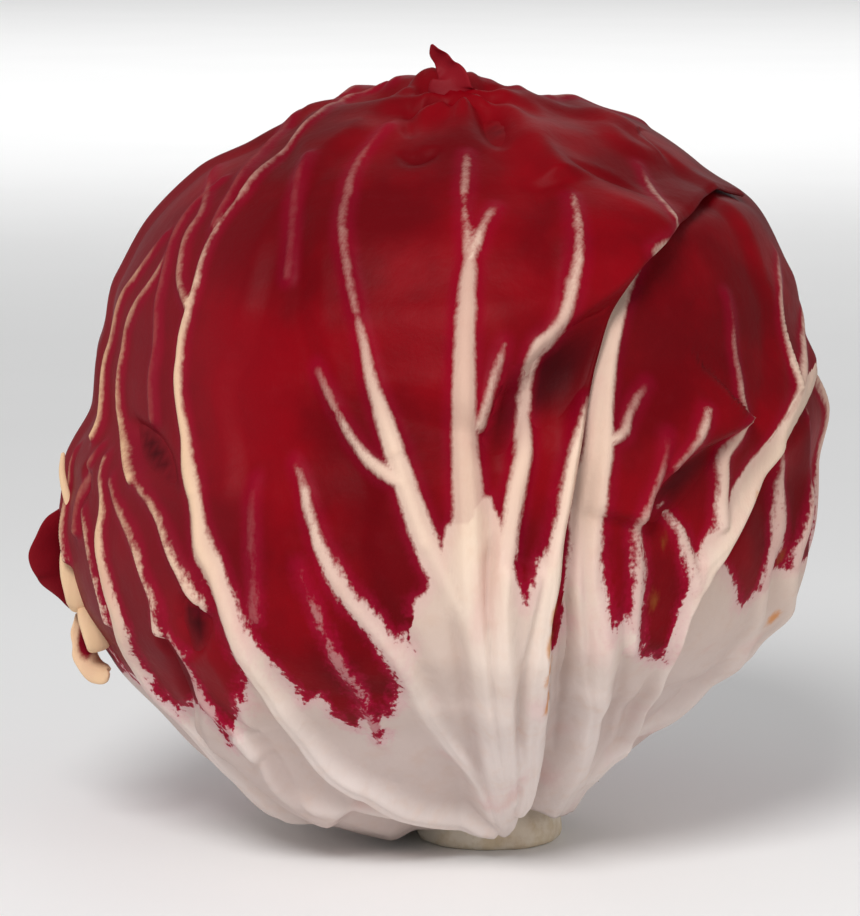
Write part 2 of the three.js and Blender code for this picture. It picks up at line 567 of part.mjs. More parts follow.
// The front leaf's tip: a pinched roll that stands up at the top of the head, bends left and ends in two lobes
function tipPoint(px, py, forward) {
  const across = (px - CENTRE_PX[0]) * MM_PER_PX;
  const above = (CENTRE_PX[1] - py) * MM_PER_PX;
  return add(add(CENTRE, [across, 0, 0]), add(scale(VIEW_UP, above), TO_CAMERA, forward));
}
const tipForward = dot(scale(pixelDirection(TIP_FOOT_PX), MEAN_RADIUS), TO_CAMERA);
const TIP_ROUTE = [
  { at: tipPoint(458, 118, tipForward - 1), half: 4.4, thick: 1.6, turn: 0 },
  { at: tipPoint(457, 102, tipForward - 1), half: 4.0, thick: 1.5, turn: 10 },
  { at: tipPoint(457, 88, tipForward - 2), half: 3.4, thick: 1.0, turn: 25 },
  { at: tipPoint(452, 74, tipForward - 2.5), half: 2.2, thick: 0.8, turn: 45 },
  { at: tipPoint(444, 62, tipForward - 2.5), half: 1.8, thick: 0.7, turn: 60 },
  { at: tipPoint(435, 52, tipForward - 2), half: 1.6, thick: 0.6, turn: 75 },
  { at: tipPoint(430, 45, tipForward - 1.5), half: 0.7, thick: 0.45, turn: 85 },
];

// The small outer leaf on the left: a thick cream rib with a curled blade, bent down at its cut end
function limbPoint(px, py, out, forward) {
  const dir = pixelDirection([px, py]);
  return add(add(CENTRE, dir, headRadius(dir) + out), TO_CAMERA, forward);
}
const CURL_ROUTE = [
  { at: limbPoint(62, 462, 2.0, 0), half: 1.2, thick: 0.7, turn: 60 },
  { at: limbPoint(60, 490, 3.0, 0), half: 3.0, thick: 0.9, turn: 60 },
  { at: limbPoint(54, 515, 2.6, 0), half: 4.0, thick: 1.1, turn: 50 },
  { at: limbPoint(50, 545, 2.8, 0), half: 4.6, thick: 1.3, turn: 40 },
  { at: limbPoint(58, 575, 2.8, 0), half: 4.4, thick: 1.4, turn: 40 },
  { at: limbPoint(72, 603, 2.8, 0), half: 3.6, thick: 1.5, turn: 30 },
  { at: limbPoint(86, 630, 3.8, 0), half: 2.8, thick: 1.6, turn: 20 },
  { at: limbPoint(97, 655, 3.4, 0), half: 2.4, thick: 1.4, turn: 0 },
  { at: limbPoint(104, 672, 3.0, 0), half: 1.8, thick: 1.0, turn: 0 },
];

const COLOURS = {
  leaf: { color: 0x7d0a18, roughness: 0.45 },
  heart: { color: 0x8a1526, roughness: 0.5 },
  stem: { color: 0xd8cfc0, roughness: 0.6 },
};
function material({ color, roughness }) {
  return new THREE.MeshStandardMaterial({ color, roughness, metalness: 0 });
}
function piece(name, geometry, look) {
  const mesh = new THREE.Mesh(geometry, material(look));
  mesh.name = name;
  return mesh;
}

const head = new THREE.Group();
head.name = 'radicchio_head';
head.add(piece('stem', stemGeometry(), COLOURS.stem));
head.add(piece('inner_head', heartGeometry(), COLOURS.heart));
const inside = [solid(stemGeometry(CLEARANCE)), solid(heartGeometry(CLEARANCE))];
LEAVES.forEach((item, index) => {
  let body = solid(leafGeometry(index));
  if (item.name === 'leaf_front') body = body.add(solid(ribbonGeometry(TIP_ROUTE, RIBBON_SIDES)));
  head.add(piece(item.name, geometryOf(clearOf(body, inside)), COLOURS.leaf));
  inside.push(solid(leafGeometry(index, CLEARANCE)));
});
const curl = clearOf(solid(ribbonGeometry(CURL_ROUTE, RIBBON_SIDES)), inside);
head.add(piece('leaf_small_left', geometryOf(curl), COLOURS.leaf));

export default head;
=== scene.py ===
# A radicchio head: crimson leaves with white ribs, wrapped over one another on a cut stem.
# The leaf surfaces are worked out in millimetres as radii over directions from the head's centre,
# in the same way as the frame's solids, and go into the meshes in metres.
import math

import bmesh
import bpy
import numpy as np
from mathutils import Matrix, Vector


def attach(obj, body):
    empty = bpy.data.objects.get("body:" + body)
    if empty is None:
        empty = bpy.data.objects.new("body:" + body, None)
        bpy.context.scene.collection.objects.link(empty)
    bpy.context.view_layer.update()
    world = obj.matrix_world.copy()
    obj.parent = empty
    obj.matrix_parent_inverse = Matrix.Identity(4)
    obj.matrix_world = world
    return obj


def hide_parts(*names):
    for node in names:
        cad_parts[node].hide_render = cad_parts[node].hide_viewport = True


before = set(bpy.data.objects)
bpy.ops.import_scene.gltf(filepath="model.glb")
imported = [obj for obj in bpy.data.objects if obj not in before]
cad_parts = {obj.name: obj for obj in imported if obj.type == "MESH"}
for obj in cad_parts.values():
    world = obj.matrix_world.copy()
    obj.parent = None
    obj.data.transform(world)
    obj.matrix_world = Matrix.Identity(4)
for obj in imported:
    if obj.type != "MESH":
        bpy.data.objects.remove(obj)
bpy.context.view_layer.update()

# Driving dimensions, in millimetres
MM_PER_PX = 0.157
CENTRE = np.array([-7.0, 4.0, 59.0])
MEAN_RADIUS = 60.0
SKIN_RISE = 0.8
METRES = 0.001

# The head's radius each 10 degrees, from straight down to straight up, on its left and right sides.
# The values were worked out from outline points picked in the photograph, then smoothed and trimmed
# towards its outline.
RADIUS_LEFT = [
    57, 59.4, 60.2, 60.1, 59.0, 58.2, 59.2, 60.4, 60.0, 58.1, 54.8, 56.0, 58.2, 58.9, 58.8, 57.2, 57.7,
    56.6, 58.0]
RADIUS_RIGHT = [
    57, 55.0, 53, 51.8, 51.2, 51.6, 54.6, 57.2, 57.6, 57.3, 59.6, 58.6, 60.8, 62.4, 60.4, 60.4, 58.2,
    58.8, 58.0]
RADIUS_STEP = 10
SIDE_BLEND = 0.9

# The photograph and its camera
CENTRE_PX = (445, 462)
PICTURE_MIDDLE_PX = (430, 458)
PICTURE_HEIGHT_PX = 916
CAMERA_DISTANCE = 700.0
CAMERA_ELEVATION = 8.0
SENSOR_HEIGHT = 24.0
PIXEL_PASSES = 4

# Leaves: thicknesses, and how one lies over another, in millimetres
BLADE_THICKNESS = 0.9
BASE_THICKNESS = 1.8
MARGIN_THICKNESS = 0.45
MARGIN_ROUND = 1.2
LEAF_GAP = 0.5
COVER_SPAN = (1.2, 6.0)
PRESS_SPAN = (0.2, 3.0)
COVER_SOFT = 14.0

# Leaves: spans along a leaf, in degrees from its root, and the waves of its margins
THINNING_SPAN = (20, 75)
ROOT_SPAN = (40, 95)
CRUMPLED_SPAN = (40, 80)
WAVY_SPAN = (25, 70)
WAVE_START, WAVE_FULL = 10, 30
WHITE_FROM = 48
END_BOW = 9.0
END_RIPPLES = 9
MARGIN_WAVE, MARGIN_STEP, MARGIN_WAVELENGTH = 2.0, 7.0, 8
MARGIN_POINTS, OUTLINE_POINTS = 90, 50
MARGIN_SOFTENING = [0.1, 0.2, 0.4, 0.2, 0.1]
EDGE_WAVE_REACH, CRUMPLE_INSET = 7, 8
CRUMPLE_HEIGHT, CRUMPLE_SCALE, CRUMPLE_WAVES = 0.35, 7.0, 5

# Ribs and veins
THIN_VEIN = 0.46
VEIN_SOFT = 0.55
VEIN_POINT = 0.22
POINTED_SPAN = (0.75, 1)
FADING_SPAN = (0.85, 1)
FAINT = 0.6
THIN_RIDGE = 0.95
ROOT_LIFT = 1.5
ROOT_WIDER = 1.05
GROOVE_DEPTH = 0.2
GROOVE_SPAN = (1.2, 2)
GROOVE_SHARE = 0.3
FAN_RIBS = range(-4, 5)
FAN_ROOT, FAN_END_GAP, BRANCH_REACH = 14, 12, 26

# Meshes: how many times coarser a leaf's inner face is, and the merging distance in metres
INNER_COARSER = 4
WELD = 0.00002
FAR = 1e9
TINY = 1e-12
PALE_LIMIT = 9

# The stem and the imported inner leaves
STEM_RADIUS, STEM_TOP, STEM_SIDES = 11.5, 15.6, 96
STEM_PROFILE = [(0.3, -0.3), (1.0, 0), (3.5, 0.1), (7, -0.4), (11, -1.2), (STEM_TOP, -2.0)]
STEM_BEVEL, STEM_RIM = 1.0, 1.2
HEART_CUT = 16.0
HEART_LAPS, HEART_TWIST, LAP_RISE = 5, 0.8, 0.5
HEART_WHITE_FROM = 55


def smooth(low, high, x):
    """A smooth ramp from 0 at low to 1 at high."""
    f = np.clip((np.asarray(x, float) - low) / (high - low), 0, 1)
    return f * f * (3 - 2 * f)


def bell(x):
    return np.exp(-x ** 2)


def between(pair, share):
    return pair[0] * (1 - share) + pair[1] * share


def unit(a):
    a = np.asarray(a, float)
    return a / np.linalg.norm(a, axis=-1, keepdims=True)


def draw(seed):
    """A steady pseudo-random number from 0 to 1 for each seed."""
    x = math.sin(seed * 12.9898 + 4.1) * 43758.5453
    return x - math.floor(x)


# Places in the photograph and on the head
tilt = math.radians(CAMERA_ELEVATION)
VIEW_UP = np.array([0, math.sin(tilt), math.cos(tilt)])
TO_CAMERA = np.array([0, -math.cos(tilt), math.sin(tilt)])
TO_STEM = unit(-CENTRE)


def head_radius(d):
    """The radius that the outermost leaf follows, for directions from the head's centre."""
    place = np.degrees(np.arccos(np.clip(-d[:, 2], -1, 1))) / RADIUS_STEP
    i = np.minimum(place.astype(int), len(RADIUS_LEFT) - 2)
    f = smooth(0, 1, place - i)
    sides = [np.array(r, float) for r in (RADIUS_LEFT, RADIUS_RIGHT)]
    left, right = [r[i] * (1 - f) + r[i + 1] * f for r in sides]
    return between((left, right), smooth(-SIDE_BLEND, SIDE_BLEND, d[:, 0]))


def pixel_dirs(points):
    """Directions from the head's centre to what shows at pixels of the photograph."""
    p = np.asarray(points, float)
    across = (p[:, 0] - CENTRE_PX[0]) * MM_PER_PX
    above = (CENTRE_PX[1] - p[:, 1]) * MM_PER_PX
    eye = TO_CAMERA * CAMERA_DISTANCE
    ray = unit(across[:, None] * [1, 0, 0] + above[:, None] * VIEW_UP - eye)
    middle = -ray @ eye
    radius = np.full(len(p), MEAN_RADIUS)
    for _ in range(PIXEL_PASSES):
        depth = radius ** 2 - CAMERA_DISTANCE ** 2 + middle ** 2
        d = unit(eye + ray * (middle - np.sqrt(np.maximum(depth, 0)))[:, None])
        radius = head_radius(d) + SKIN_RISE
    return d


def seen_pixels(d):
    """Where directions from the head's centre show in the photograph: the inverse of pixel_dirs."""
    p = d * (head_radius(d) + SKIN_RISE)[:, None]
    nearer = CAMERA_DISTANCE / (CAMERA_DISTANCE - p @ TO_CAMERA) / MM_PER_PX
    return CENTRE_PX[0] + p[:, 0] * nearer, CENTRE_PX[1] - (p @ VIEW_UP) * nearer


def nearest(line, d):
    """Distance to a line, share of its length at the nearest point, and side of it, for directions."""
    p = d * MEAN_RADIUS
    corner = ((line ** 2).sum(1) - 2 * p @ line.T).argmin(1)
    best = np.full(len(d), FAR)
    along = np.zeros(len(d))
    side = np.ones(len(d))
    for shift in (-1, 0):
        i = np.clip(corner + shift, 0, len(line) - 2)
        step = line[i + 1] - line[i]
        off = p - line[i]
        f = np.clip((off * step).sum(1) / np.maximum((step * step).sum(1), TINY), 0, 1)
        gap = np.linalg.norm(off - f[:, None] * step, axis=1)
        closer = gap < best
        best = np.where(closer, gap, best)
        along = np.where(closer, (i + f) / (len(line) - 1), along)
        turn = (np.cross(step, off) * d).sum(1)
        side = np.where(closer, np.where(turn > 0, 1, -1), side)
    return best, along, side


def finer(line, times=4):
    """A smooth line through the same points, so that nothing bends at a corner."""
    line = np.asarray(line, float)
    if len(line) < 3:
        return line
    ends = np.vstack([2 * line[0] - line[1], line, 2 * line[-1] - line[-2]])
    out = []
    for a, b, c, e in zip(ends, ends[1:], ends[2:], ends[3:]):
        for k in range(times):
            f = k / times
            curve = (2 * a - 5 * b + 4 * c - e) * f ** 2
            out.append(0.5 * (2 * b + (c - a) * f + curve + (3 * b - a - 3 * c + e) * f ** 3))
    return np.array(out + [line[-1]])


def pixel_line(points):
    return unit(finer(pixel_dirs(points))) * MEAN_RADIUS


# Frames of the leaves: places along a leaf from its root and across it, in degrees
def leaf_frame(turn):
    t = math.radians(turn)
    out = np.array([math.sin(t), -math.cos(t), 0])
    middle = unit(out - TO_STEM * (out @ TO_STEM))
    side = np.cross(middle, TO_STEM)
    if side @ [math.cos(t), math.sin(t), 0] < 0:
        side = -side
    return middle, side


def leaf_dir(axes, along, across):
    s, t = np.radians(along), np.radians(across)
    in_plane = np.cos(s)[..., None] * TO_STEM + np.sin(s)[..., None] * axes[0]
    return np.cos(t)[..., None] * in_plane + np.sin(t)[..., None] * axes[1]


def leaf_place(axes, d):
    across = np.degrees(np.arcsin(np.clip(d @ axes[1], -1, 1)))
    along = np.degrees(np.arctan2(d @ axes[0], d @ TO_STEM))
    return np.where(along < -90, along + 360, along), across


def wavy_stretch(places):
    """A stretch of margin through places [along, across], with waves that grow towards the leaf's end."""
    if len(places) < 2:
        return [tuple(p) for p in places]
    s_at, t_at = zip(*places)
    wavy = []
    s = s_at[0]
    while s < s_at[-1]:
        grown = float(smooth(*WAVY_SPAN, s))
        wave = grown * MARGIN_WAVE * math.sin(s / MARGIN_WAVELENGTH + t_at[0] + t_at[1])
        wavy.append((s, float(np.interp(s, s_at, t_at)) + wave))
        s += MARGIN_STEP
    return wavy + [tuple(places[-1])]


def margin(axes, *parts):
    """A margin from hidden places [along, across] and from what the photograph shows, as pixels."""
    places = []
    for kind, points in parts:
        if kind == "px":
            s, t = leaf_place(axes, pixel_dirs(points))
            places += list(zip(s, t))
        else:
            places += wavy_stretch(points)
    places = np.array(sorted(places))
    steps = np.linspace(places[0, 0], places[-1, 0], MARGIN_POINTS)
    rough = np.interp(steps, places[:, 0], places[:, 1])
    soft = np.convolve(np.pad(rough, 2, mode="edge"), MARGIN_SOFTENING, mode="valid")
    return steps, soft


class Leaf:
    """One leaf: its outline, ribs with their white bands, folds, creases and where it turns white."""

    def __init__(self, name, turn, span, left, right, wave=0.5, cells=(240, 168), middle=0,
                 white_edge=(), ribs=(), creases=(), folds=(), pinch=False):
        self.name, self.turn, self.wave, self.cells, self.middle = name, turn, wave, cells, middle
        self.axes = leaf_frame(turn)
        self.low, self.high = span
        self.left, self.right = margin(self.axes, *left), margin(self.axes, *right)
        self.white_edge, self.creases, self.folds, self.pinch = white_edge, creases, folds, pinch
        f = np.linspace(0, 1, OUTLINE_POINTS)
        edge = [self.place(f, 1 + 0 * f), self.place(1 + 0 * f, 1 - f), self.place(1 - f, 0 * f),
                self.place(0 * f, f)]
        s, t = np.concatenate(edge, axis=1)
        self.outline = leaf_dir(self.axes, s, t) * MEAN_RADIUS
        self.ribs = list(ribs)
        if len(ribs) < 2:
            self.ribs += fan_ribs(self, len(LEAVES) * 50 + 7)
        if pinch:
            self.ribs += ribs_over_top(self)

    def across(self, side, along):
        return np.interp(along, *side)

    def end(self, share):
        """How far along the leaf ends, at a share of its width."""
        bow = END_BOW * (4 * share * (1 - share) - 0.5)
        return self.high + bow + 0.25 * END_BOW * np.sin(END_RIPPLES * share + self.turn)

    def place(self, length, width):
        """Places [along, across] at shares of the leaf's length and width."""
        along = self.low + (self.end(width) - self.low) * length
        left, right = self.across(self.left, along), self.across(self.right, along)
        return np.array([along, left + (right - left) * width])

    def outside(self, d):
        """Distance outside the leaf's outline, less than 0 within it."""
        s, t = leaf_place(self.axes, d)
        left, right = self.across(self.left, s), self.across(self.right, s)
        end = self.end(np.clip((t - left) / (right - left), 0, 1))
        within = (s > self.low) & (s < end) & (t > left) & (t < right)
        return nearest(self.outline[::2], d)[0] * np.where(within, -1, 1)

    def thickness(self, d):
        s, _ = leaf_place(self.axes, d)
        return BASE_THICKNESS + (BLADE_THICKNESS - BASE_THICKNESS) * smooth(*THINNING_SPAN, s)


def rib_along(line, relief, height, white, strength):
    """A rib from its root to its end: relief width, height, half-width of its white band, how white."""
    return dict(line=line, relief=relief, height=height, white=white, strength=strength)


def seen_rib(line, relief, height, white, strength):
    """A rib that the photograph shows, a little bolder at its root."""
    bolder = (relief[0] * ROOT_WIDER, relief[1])
    higher = (height[0] * ROOT_LIFT, height[1])
    return rib_along(line, bolder, higher, white, strength)


def rib(relief, height, white, strength, points):
    return seen_rib(pixel_line(points), relief, height, white, strength)


def limb_rib(relief, height, white, strength, turns, pixel_heights):
    """A rib on the head's side, where a pixel's place across says little: it has turns in degrees."""
    z = (CENTRE_PX[1] - np.array(pixel_heights, float)) * MM_PER_PX / MEAN_RADIUS
    turn, level = np.radians(turns), np.sqrt(1 - z * z)
    line = np.stack([np.sin(turn) * level, -np.cos(turn) * level, z], axis=1)
    return seen_rib(unit(finer(line)) * MEAN_RADIUS, relief, height, white, strength)


def ribs_over_top(leaf):
    """Thin ribs where the leaf bends over the top of the head and down behind it."""
    ribs = []
    for k in FAN_RIBS:
        f = np.linspace(0, 1, 7)
        along = 176 + 3 * draw(k + 30) + 17 * f
        across = k * (6.5 + 1.5 * f) + 2 * np.sin(4 * f + k)
        line = finer(leaf_dir(leaf.axes, along, across)) * MEAN_RADIUS
        ribs.append(rib_along(line, (1.4, 1.0), (0.8, 0.4), (0.3, 0.2), (0.2, 0.3)))
    return ribs


def fan_ribs(leaf, seed):
    """Ribs where the photograph shows none: they spread like a fan, each with side branches."""
    ribs = []
    reach = leaf.high - FAN_END_GAP
    for k in FAN_RIBS:
        main = 1.0 if k == 0 else 0.62 + 0.14 * draw(seed + k + 40)
        end = reach - 11 * abs(k) - 10 * draw(seed + 20 + k)
        f = np.linspace(0, 1, 9)
        s = FAN_ROOT + (end - FAN_ROOT) * f
        bend = 12.5 + 3 * draw(seed + k)
        t = leaf.middle * f + k * (1.8 + bend * f ** 0.8) + 2.2 * np.sin(f * 5 + seed + k)
        line = finer(leaf_dir(leaf.axes, s, t)) * MEAN_RADIUS
        ribs.append(rib_along(line, (3.2 * main, 1.0), (1.5 * main, 0.4), (3.0 * main, 0.35), (1.0, 0.3)))
        for branch in range(3):
            root = 2 + branch * 2
            way = 1 if (branch + k) % 2 else -1
            g = np.linspace(0, 1, 5)
            sideways = 9 * g ** 0.8 + 2 * draw(seed + 9 * k + branch)
            line = finer(leaf_dir(leaf.axes, s[root] + BRANCH_REACH * g, t[root] + way * sideways))
            ribs.append(rib_along(line * MEAN_RADIUS, (1.2, 0.6), (0.6, 0.2), (0.9 * main, 0.2), (0.9, 0.2)))
    return ribs


def fold(height, reach, drop, high_side, points):
    """A raised fold: it falls off over its reach on one side and over its drop on the other."""
    return dict(height=height, reach=reach, drop=drop, high_side=high_side, line=pixel_line(points))


def crease(width, depth, points):
    return dict(width=width, depth=depth, line=pixel_line(points))


# What the photograph shows of the leaves, as pixels
BACK_RIGHT_RIBS = [
    rib((1.5, 1.5), (0.8, 1.2), (1.6, 1.2), (0.9, 0.7), [
        (790, 600), (806, 560), (817, 500), (822, 440), (815, 370)]),
]

UNDER_MARGIN_PX = [
    (778, 625), (795, 575), (798, 520), (804, 480), (808, 420), (810, 383)]

UNDER_WHITE_EDGE_PX = [
    (640, 640), (700, 590), (725, 560), (735, 580), (744, 609), (760, 592), (775, 572), (790, 560),
    (812, 540)]

UNDER_RIBS = [
    rib((2.4, 0.8), (1.1, 0.4), (3.0, 0.5), (1, 0.7), [
        (560, 790), (680, 715), (735, 660), (766, 590), (778, 540), (778, 488), (783, 452)]),
    rib((2, 0.8), (1, 0.4), (2.2, 0.5), (1, 0.7), [
        (690, 705), (760, 640), (785, 575), (795, 523), (804, 473), (808, 410)]),
]

RIGHT_MARGIN_PX = [
    (620, 748), (634, 728), (660, 686), (678, 648), (690, 610), (702, 583), (723, 555), (740, 522),
    (762, 487), (780, 447), (794, 420), (810, 375)]

RIGHT_WHITE_EDGE_PX = [
    (530, 640), (556, 652), (563, 645), (570, 560), (600, 600), (612, 636), (625, 615), (637, 651),
    (661, 660), (678, 610), (699, 546), (722, 515), (734, 485), (754, 458), (775, 425), (795, 385),
    (815, 350)]

RIGHT_RIBS = [
    rib((3.2, 1.1), (1.5, 0.7), (3.4, 0.9), (1, 0.9), [
        (545, 800), (579, 768), (588, 730), (596, 677), (594, 619), (588, 575), (589, 488), (595, 458),
        (599, 409), (605, 365), (614, 321), (623, 292), (631, 277), (650, 225)]),
    rib((1, 0.7), (0.6, 0.3), (0.7, 0.3), (0.9, 0.3), [(611, 438), (620, 432), (631, 406), (646, 383)]),
    rib((1.2, 0.6), (0.7, 0.3), (1.3, 0.25), (1, 0.3), [
        (630, 650), (634, 604), (637, 564), (634, 526), (640, 502), (652, 473), (661, 435)]),
    rib((3, 0.8), (1.5, 0.4), (3.4, 0.7), (1, 0.8), [
        (560, 795), (600, 760), (629, 736), (640, 721), (661, 686), (678, 648), (693, 604), (702, 569),
        (722, 546), (740, 517), (757, 482), (772, 458), (780, 429), (792, 400), (797, 350), (795, 289)]),
    rib((1, 0.6), (0.8, 0.3), (1.0, 0.4), (1, 0.6), [
        (792, 388), (783, 350), (778, 315), (778, 289), (776, 254)]),
    rib((1.4, 0.6), (0.9, 0.3), (1.3, 0.2), (1, 0.3), [
        (719, 523), (722, 488), (725, 458), (737, 438), (745, 418), (741, 394), (740, 377), (734, 327),
        (728, 292)]),
    rib((1.2, 0.7), (0.9, 0.4), (1.3, 0.5), (1, 0.8), [(692, 590), (687, 552), (678, 526), (653, 488)]),
    rib((1, 0.7), (0.7, 0.4), (0.4, 0.7), (0.5, 1), [(667, 467), (687, 444), (693, 432), (699, 412)]),
]

RIGHT_CREASES = [
    crease(0.9, 0.9, [
        (590, 740), (588, 680), (586, 600), (586, 540), (592, 470), (602, 400), (610, 340)]),
    crease(2.0, 1.6, [(558, 650), (564, 590), (568, 540), (576, 480), (586, 420)]),
    crease(3.6, 2.4, [(646, 535), (655, 515), (668, 495), (690, 472), (715, 452), (740, 436)]),
    crease(1.6, 1.6, [(566, 560), (566, 620), (562, 690), (556, 760)]),
    crease(1.8, 1.4, [(622, 640), (618, 690), (600, 740), (580, 775)]),
    crease(1.6, 1.2, [(655, 668), (640, 700), (612, 745)]),
]

RIGHT_FOLDS = [
    fold(2.8, 8, 0.9, -1, [
        (745, 412), (737, 423), (693, 450), (672, 467), (652, 485), (640, 508), (634, 530)]),
]

FRONT_MARGIN_PX = [
    (529, 794), (541, 765), (550, 736), (548, 692), (551, 628), (561, 587), (562, 546), (573, 493),
    (577, 458), (585, 410), (590, 385), (598, 352), (606, 316), (625, 283), (652, 258), (693, 213),
    (728, 190)]

FRONT_WHITE_EDGE_PX = [
    (40, 660), (60, 650), (95, 645), (125, 672), (160, 705), (172, 712), (190, 704), (205, 708),
    (233, 735), (241, 700), (246, 655), (254, 640), (277, 672), (304, 704), (322, 700), (330, 716),
    (353, 732), (364, 722), (377, 744), (380, 715), (388, 718), (395, 700), (400, 660), (401, 636),
    (404, 632), (408, 650), (412, 600), (425, 590), (436, 560), (445, 528), (470, 500), (491, 496),
    (508, 560), (523, 598), (535, 560), (570, 520), (600, 480)]

FRONT_RIBS = [
    rib((2.8, 0.9), (2.0, 0.5), (4.2, 0.3), (1, 0.6), [
        (506, 812), (497, 780), (487, 740), (480, 700), (474, 640), (470, 580), (468, 521), (464, 458),
        (462, 409), (462, 350), (465, 292), (468, 263), (464, 225), (463, 193)]),
    rib((0.9, 0.5), (0.5, 0.3), (0.5, 0.3), (0.55, 0.45), [(463, 193), (465, 170), (466, 152)]),
    rib((0.9, 0.5), (0.7, 0.3), (0.8, 0.2), (1, 0.35), [(468, 263), (477, 239), (485, 222), (494, 207)]),
    rib((2.0, 0.8), (1.8, 0.5), (1.8, 0.5), (1, 0.75), [
        (508, 790), (504, 744), (501, 669), (497, 600), (505, 545), (512, 500), (521, 458), (523, 438),
        (525, 394), (531, 355), (545, 342), (558, 321), (564, 292), (570, 263), (570, 230), (567, 204)]),
    rib((0.8, 0.5), (0.7, 0.3), (0.8, 0.3), (1, 0.6), [(478, 425), (486, 397), (494, 370), (500, 350)]),
    rib((1, 0.6), (0.8, 0.3), (0.5, 0.4), (0.9, 0.5), [
        (640, 266), (652, 258), (664, 251), (669, 237), (664, 219), (652, 190), (640, 164)]),
    rib((2.2, 0.9), (1.7, 0.5), (2.6, 1.3), (1, 1), [
        (503, 800), (483, 719), (468, 644), (451, 602), (424, 540), (409, 500), (394, 450), (381, 412)]),
    rib((1.4, 0.7), (0.9, 0.3), (1.6, 0.2), (1, 0.5), [
        (394, 450), (381, 412), (371, 380), (362, 336), (355, 312)]),
    rib((0.8, 0.6), (0.5, 0.3), (0.3, 0.25), (0.4, 0.16), [
        (355, 312), (348, 277), (343, 242), (342, 216), (348, 187), (359, 158), (388, 126)]),
    rib((1.2, 0.6), (0.8, 0.3), (1.1, 0.6), (1, 0.9), [
        (402, 482), (385, 473), (365, 458), (350, 437), (335, 409)]),
    rib((0.8, 0.5), (0.5, 0.2), (0.4, 0.15), (0.6, 0.2), [(335, 409), (321, 380), (315, 366)]),
    rib((2.2, 0.7), (1.6, 0.3), (2.6, 0.9), (1, 0.9), [
        (496, 803), (478, 769), (444, 739), (406, 674), (381, 639), (344, 595), (317, 545), (302, 490)]),
    rib((1.0, 0.5), (0.6, 0.2), (0.9, 0.15), (0.9, 0.5), [(317, 545), (302, 490), (292, 462)]),
    rib((0.8, 0.5), (0.4, 0.2), (0.25, 0.1), (0.5, 0.2), [
        (379, 745), (362, 705), (335, 660), (305, 590), (297, 565)]),
    rib((0.9, 0.6), (0.3, 0.2), (0.5, 0.1), (0.14, 0.05), [
        (252, 620), (250, 580), (248, 520), (252, 480)]),
    rib((2.6, 0.9), (2.2, 0.8), (3.4, 1.2), (1, 1), [
        (485, 814), (419, 813), (369, 791), (324, 764), (277, 706), (240, 648), (224, 606), (211, 573),
        (201, 540), (194, 490), (187, 453)]),
    rib((1.3, 0.7), (0.9, 0.6), (1.4, 0.35), (1, 0.9), [
        (194, 490), (187, 453), (181, 409), (180, 350), (190, 304), (204, 254), (242, 196)]),
    rib((0.9, 0.8), (0.7, 0.5), (0.3, 0.2), (0.5, 0.3), [
        (242, 196), (270, 162), (292, 140), (320, 118), (350, 102), (388, 92)]),
    rib((0.9, 0.6), (0.8, 0.4), (0.5, 0.15), (0.6, 0.2), [
        (187, 304), (179, 280), (180, 260), (187, 234), (204, 205), (216, 164)]),
    rib((2.0, 0.8), (1.2, 0.3), (1.6, 0.5), (1, 1), [
        (400, 815), (344, 806), (294, 784), (264, 744), (240, 700)]),
    rib((1.4, 0.7), (1.3, 0.4), (1.0, 0.3), (1, 0.8), [
        (201, 607), (196, 597), (184, 573), (169, 546), (158, 520), (143, 498), (129, 478)]),
    rib((1.0, 0.6), (0.9, 0.4), (0.7, 0.2), (0.9, 0.5), [
        (129, 478), (124, 453), (118, 409), (120, 365), (126, 330), (140, 295), (159, 266), (172, 240)]),
    rib((1.6, 0.8), (1.0, 0.5), (1.2, 0.5), (0.6, 0.7), [
        (260, 745), (230, 722), (202, 699), (192, 680), (179, 652), (169, 636)]),
    rib((1.2, 0.6), (1.0, 0.4), (1.0, 0.2), (1, 0.6), [
        (159, 631), (156, 602), (146, 578), (136, 553), (126, 530), (113, 503), (107, 481)]),
    rib((2.4, 1.0), (1.6, 0.6), (2.8, 0.5), (1, 1), [
        (300, 815), (225, 762), (161, 699), (136, 664), (119, 622), (108, 589), (100, 556), (98, 533),
        (101, 506), (103, 457)]),
    rib((1.1, 0.6), (0.9, 0.6), (0.7, 0.3), (1, 0.8), [
        (108, 620), (101, 598), (91, 564), (86, 540), (82, 511)]),
    limb_rib((0.9, 0.7), (0.8, 0.6), (0.15, 0.1), (0.3, 0.2), [-70, -71, -70, -68], [511, 485, 455, 425]),
    limb_rib((1.1, 0.7), (1.0, 0.6), (0.7, 0.4), (0.95, 0.5), [-78, -80, -82, -82], [545, 510, 478, 440]),
    limb_rib((1.2, 0.9), (1.0, 0.5), (0.8, 0.3), (0.95, 0.5),
        [-73, -75, -75, -73, -70, -66], [418, 375, 340, 300, 262, 222]),
    rib((1.0, 0.8), (0.7, 0.5), (0.1, 0.1), (0.1, 0.1), [
        (152, 420), (151, 380), (155, 320), (163, 270), (185, 215), (222, 178)]),
    rib((1.0, 0.8), (0.7, 0.5), (0.1, 0.1), (0.1, 0.1), [(215, 225), (238, 180), (270, 138), (300, 116)]),
    rib((1.0, 0.8), (0.5, 0.4), (0.1, 0.1), (0.06, 0.06), [
        (285, 275), (288, 240), (292, 200), (310, 160)]),
    rib((2.6, 1.2), (2.2, 1.6), (3.4, 0.5), (1, 1), [
        (520, 795), (526, 769), (531, 694), (543, 619), (553, 560), (560, 520), (569, 470), (578, 425),
        (585, 400)]),
]

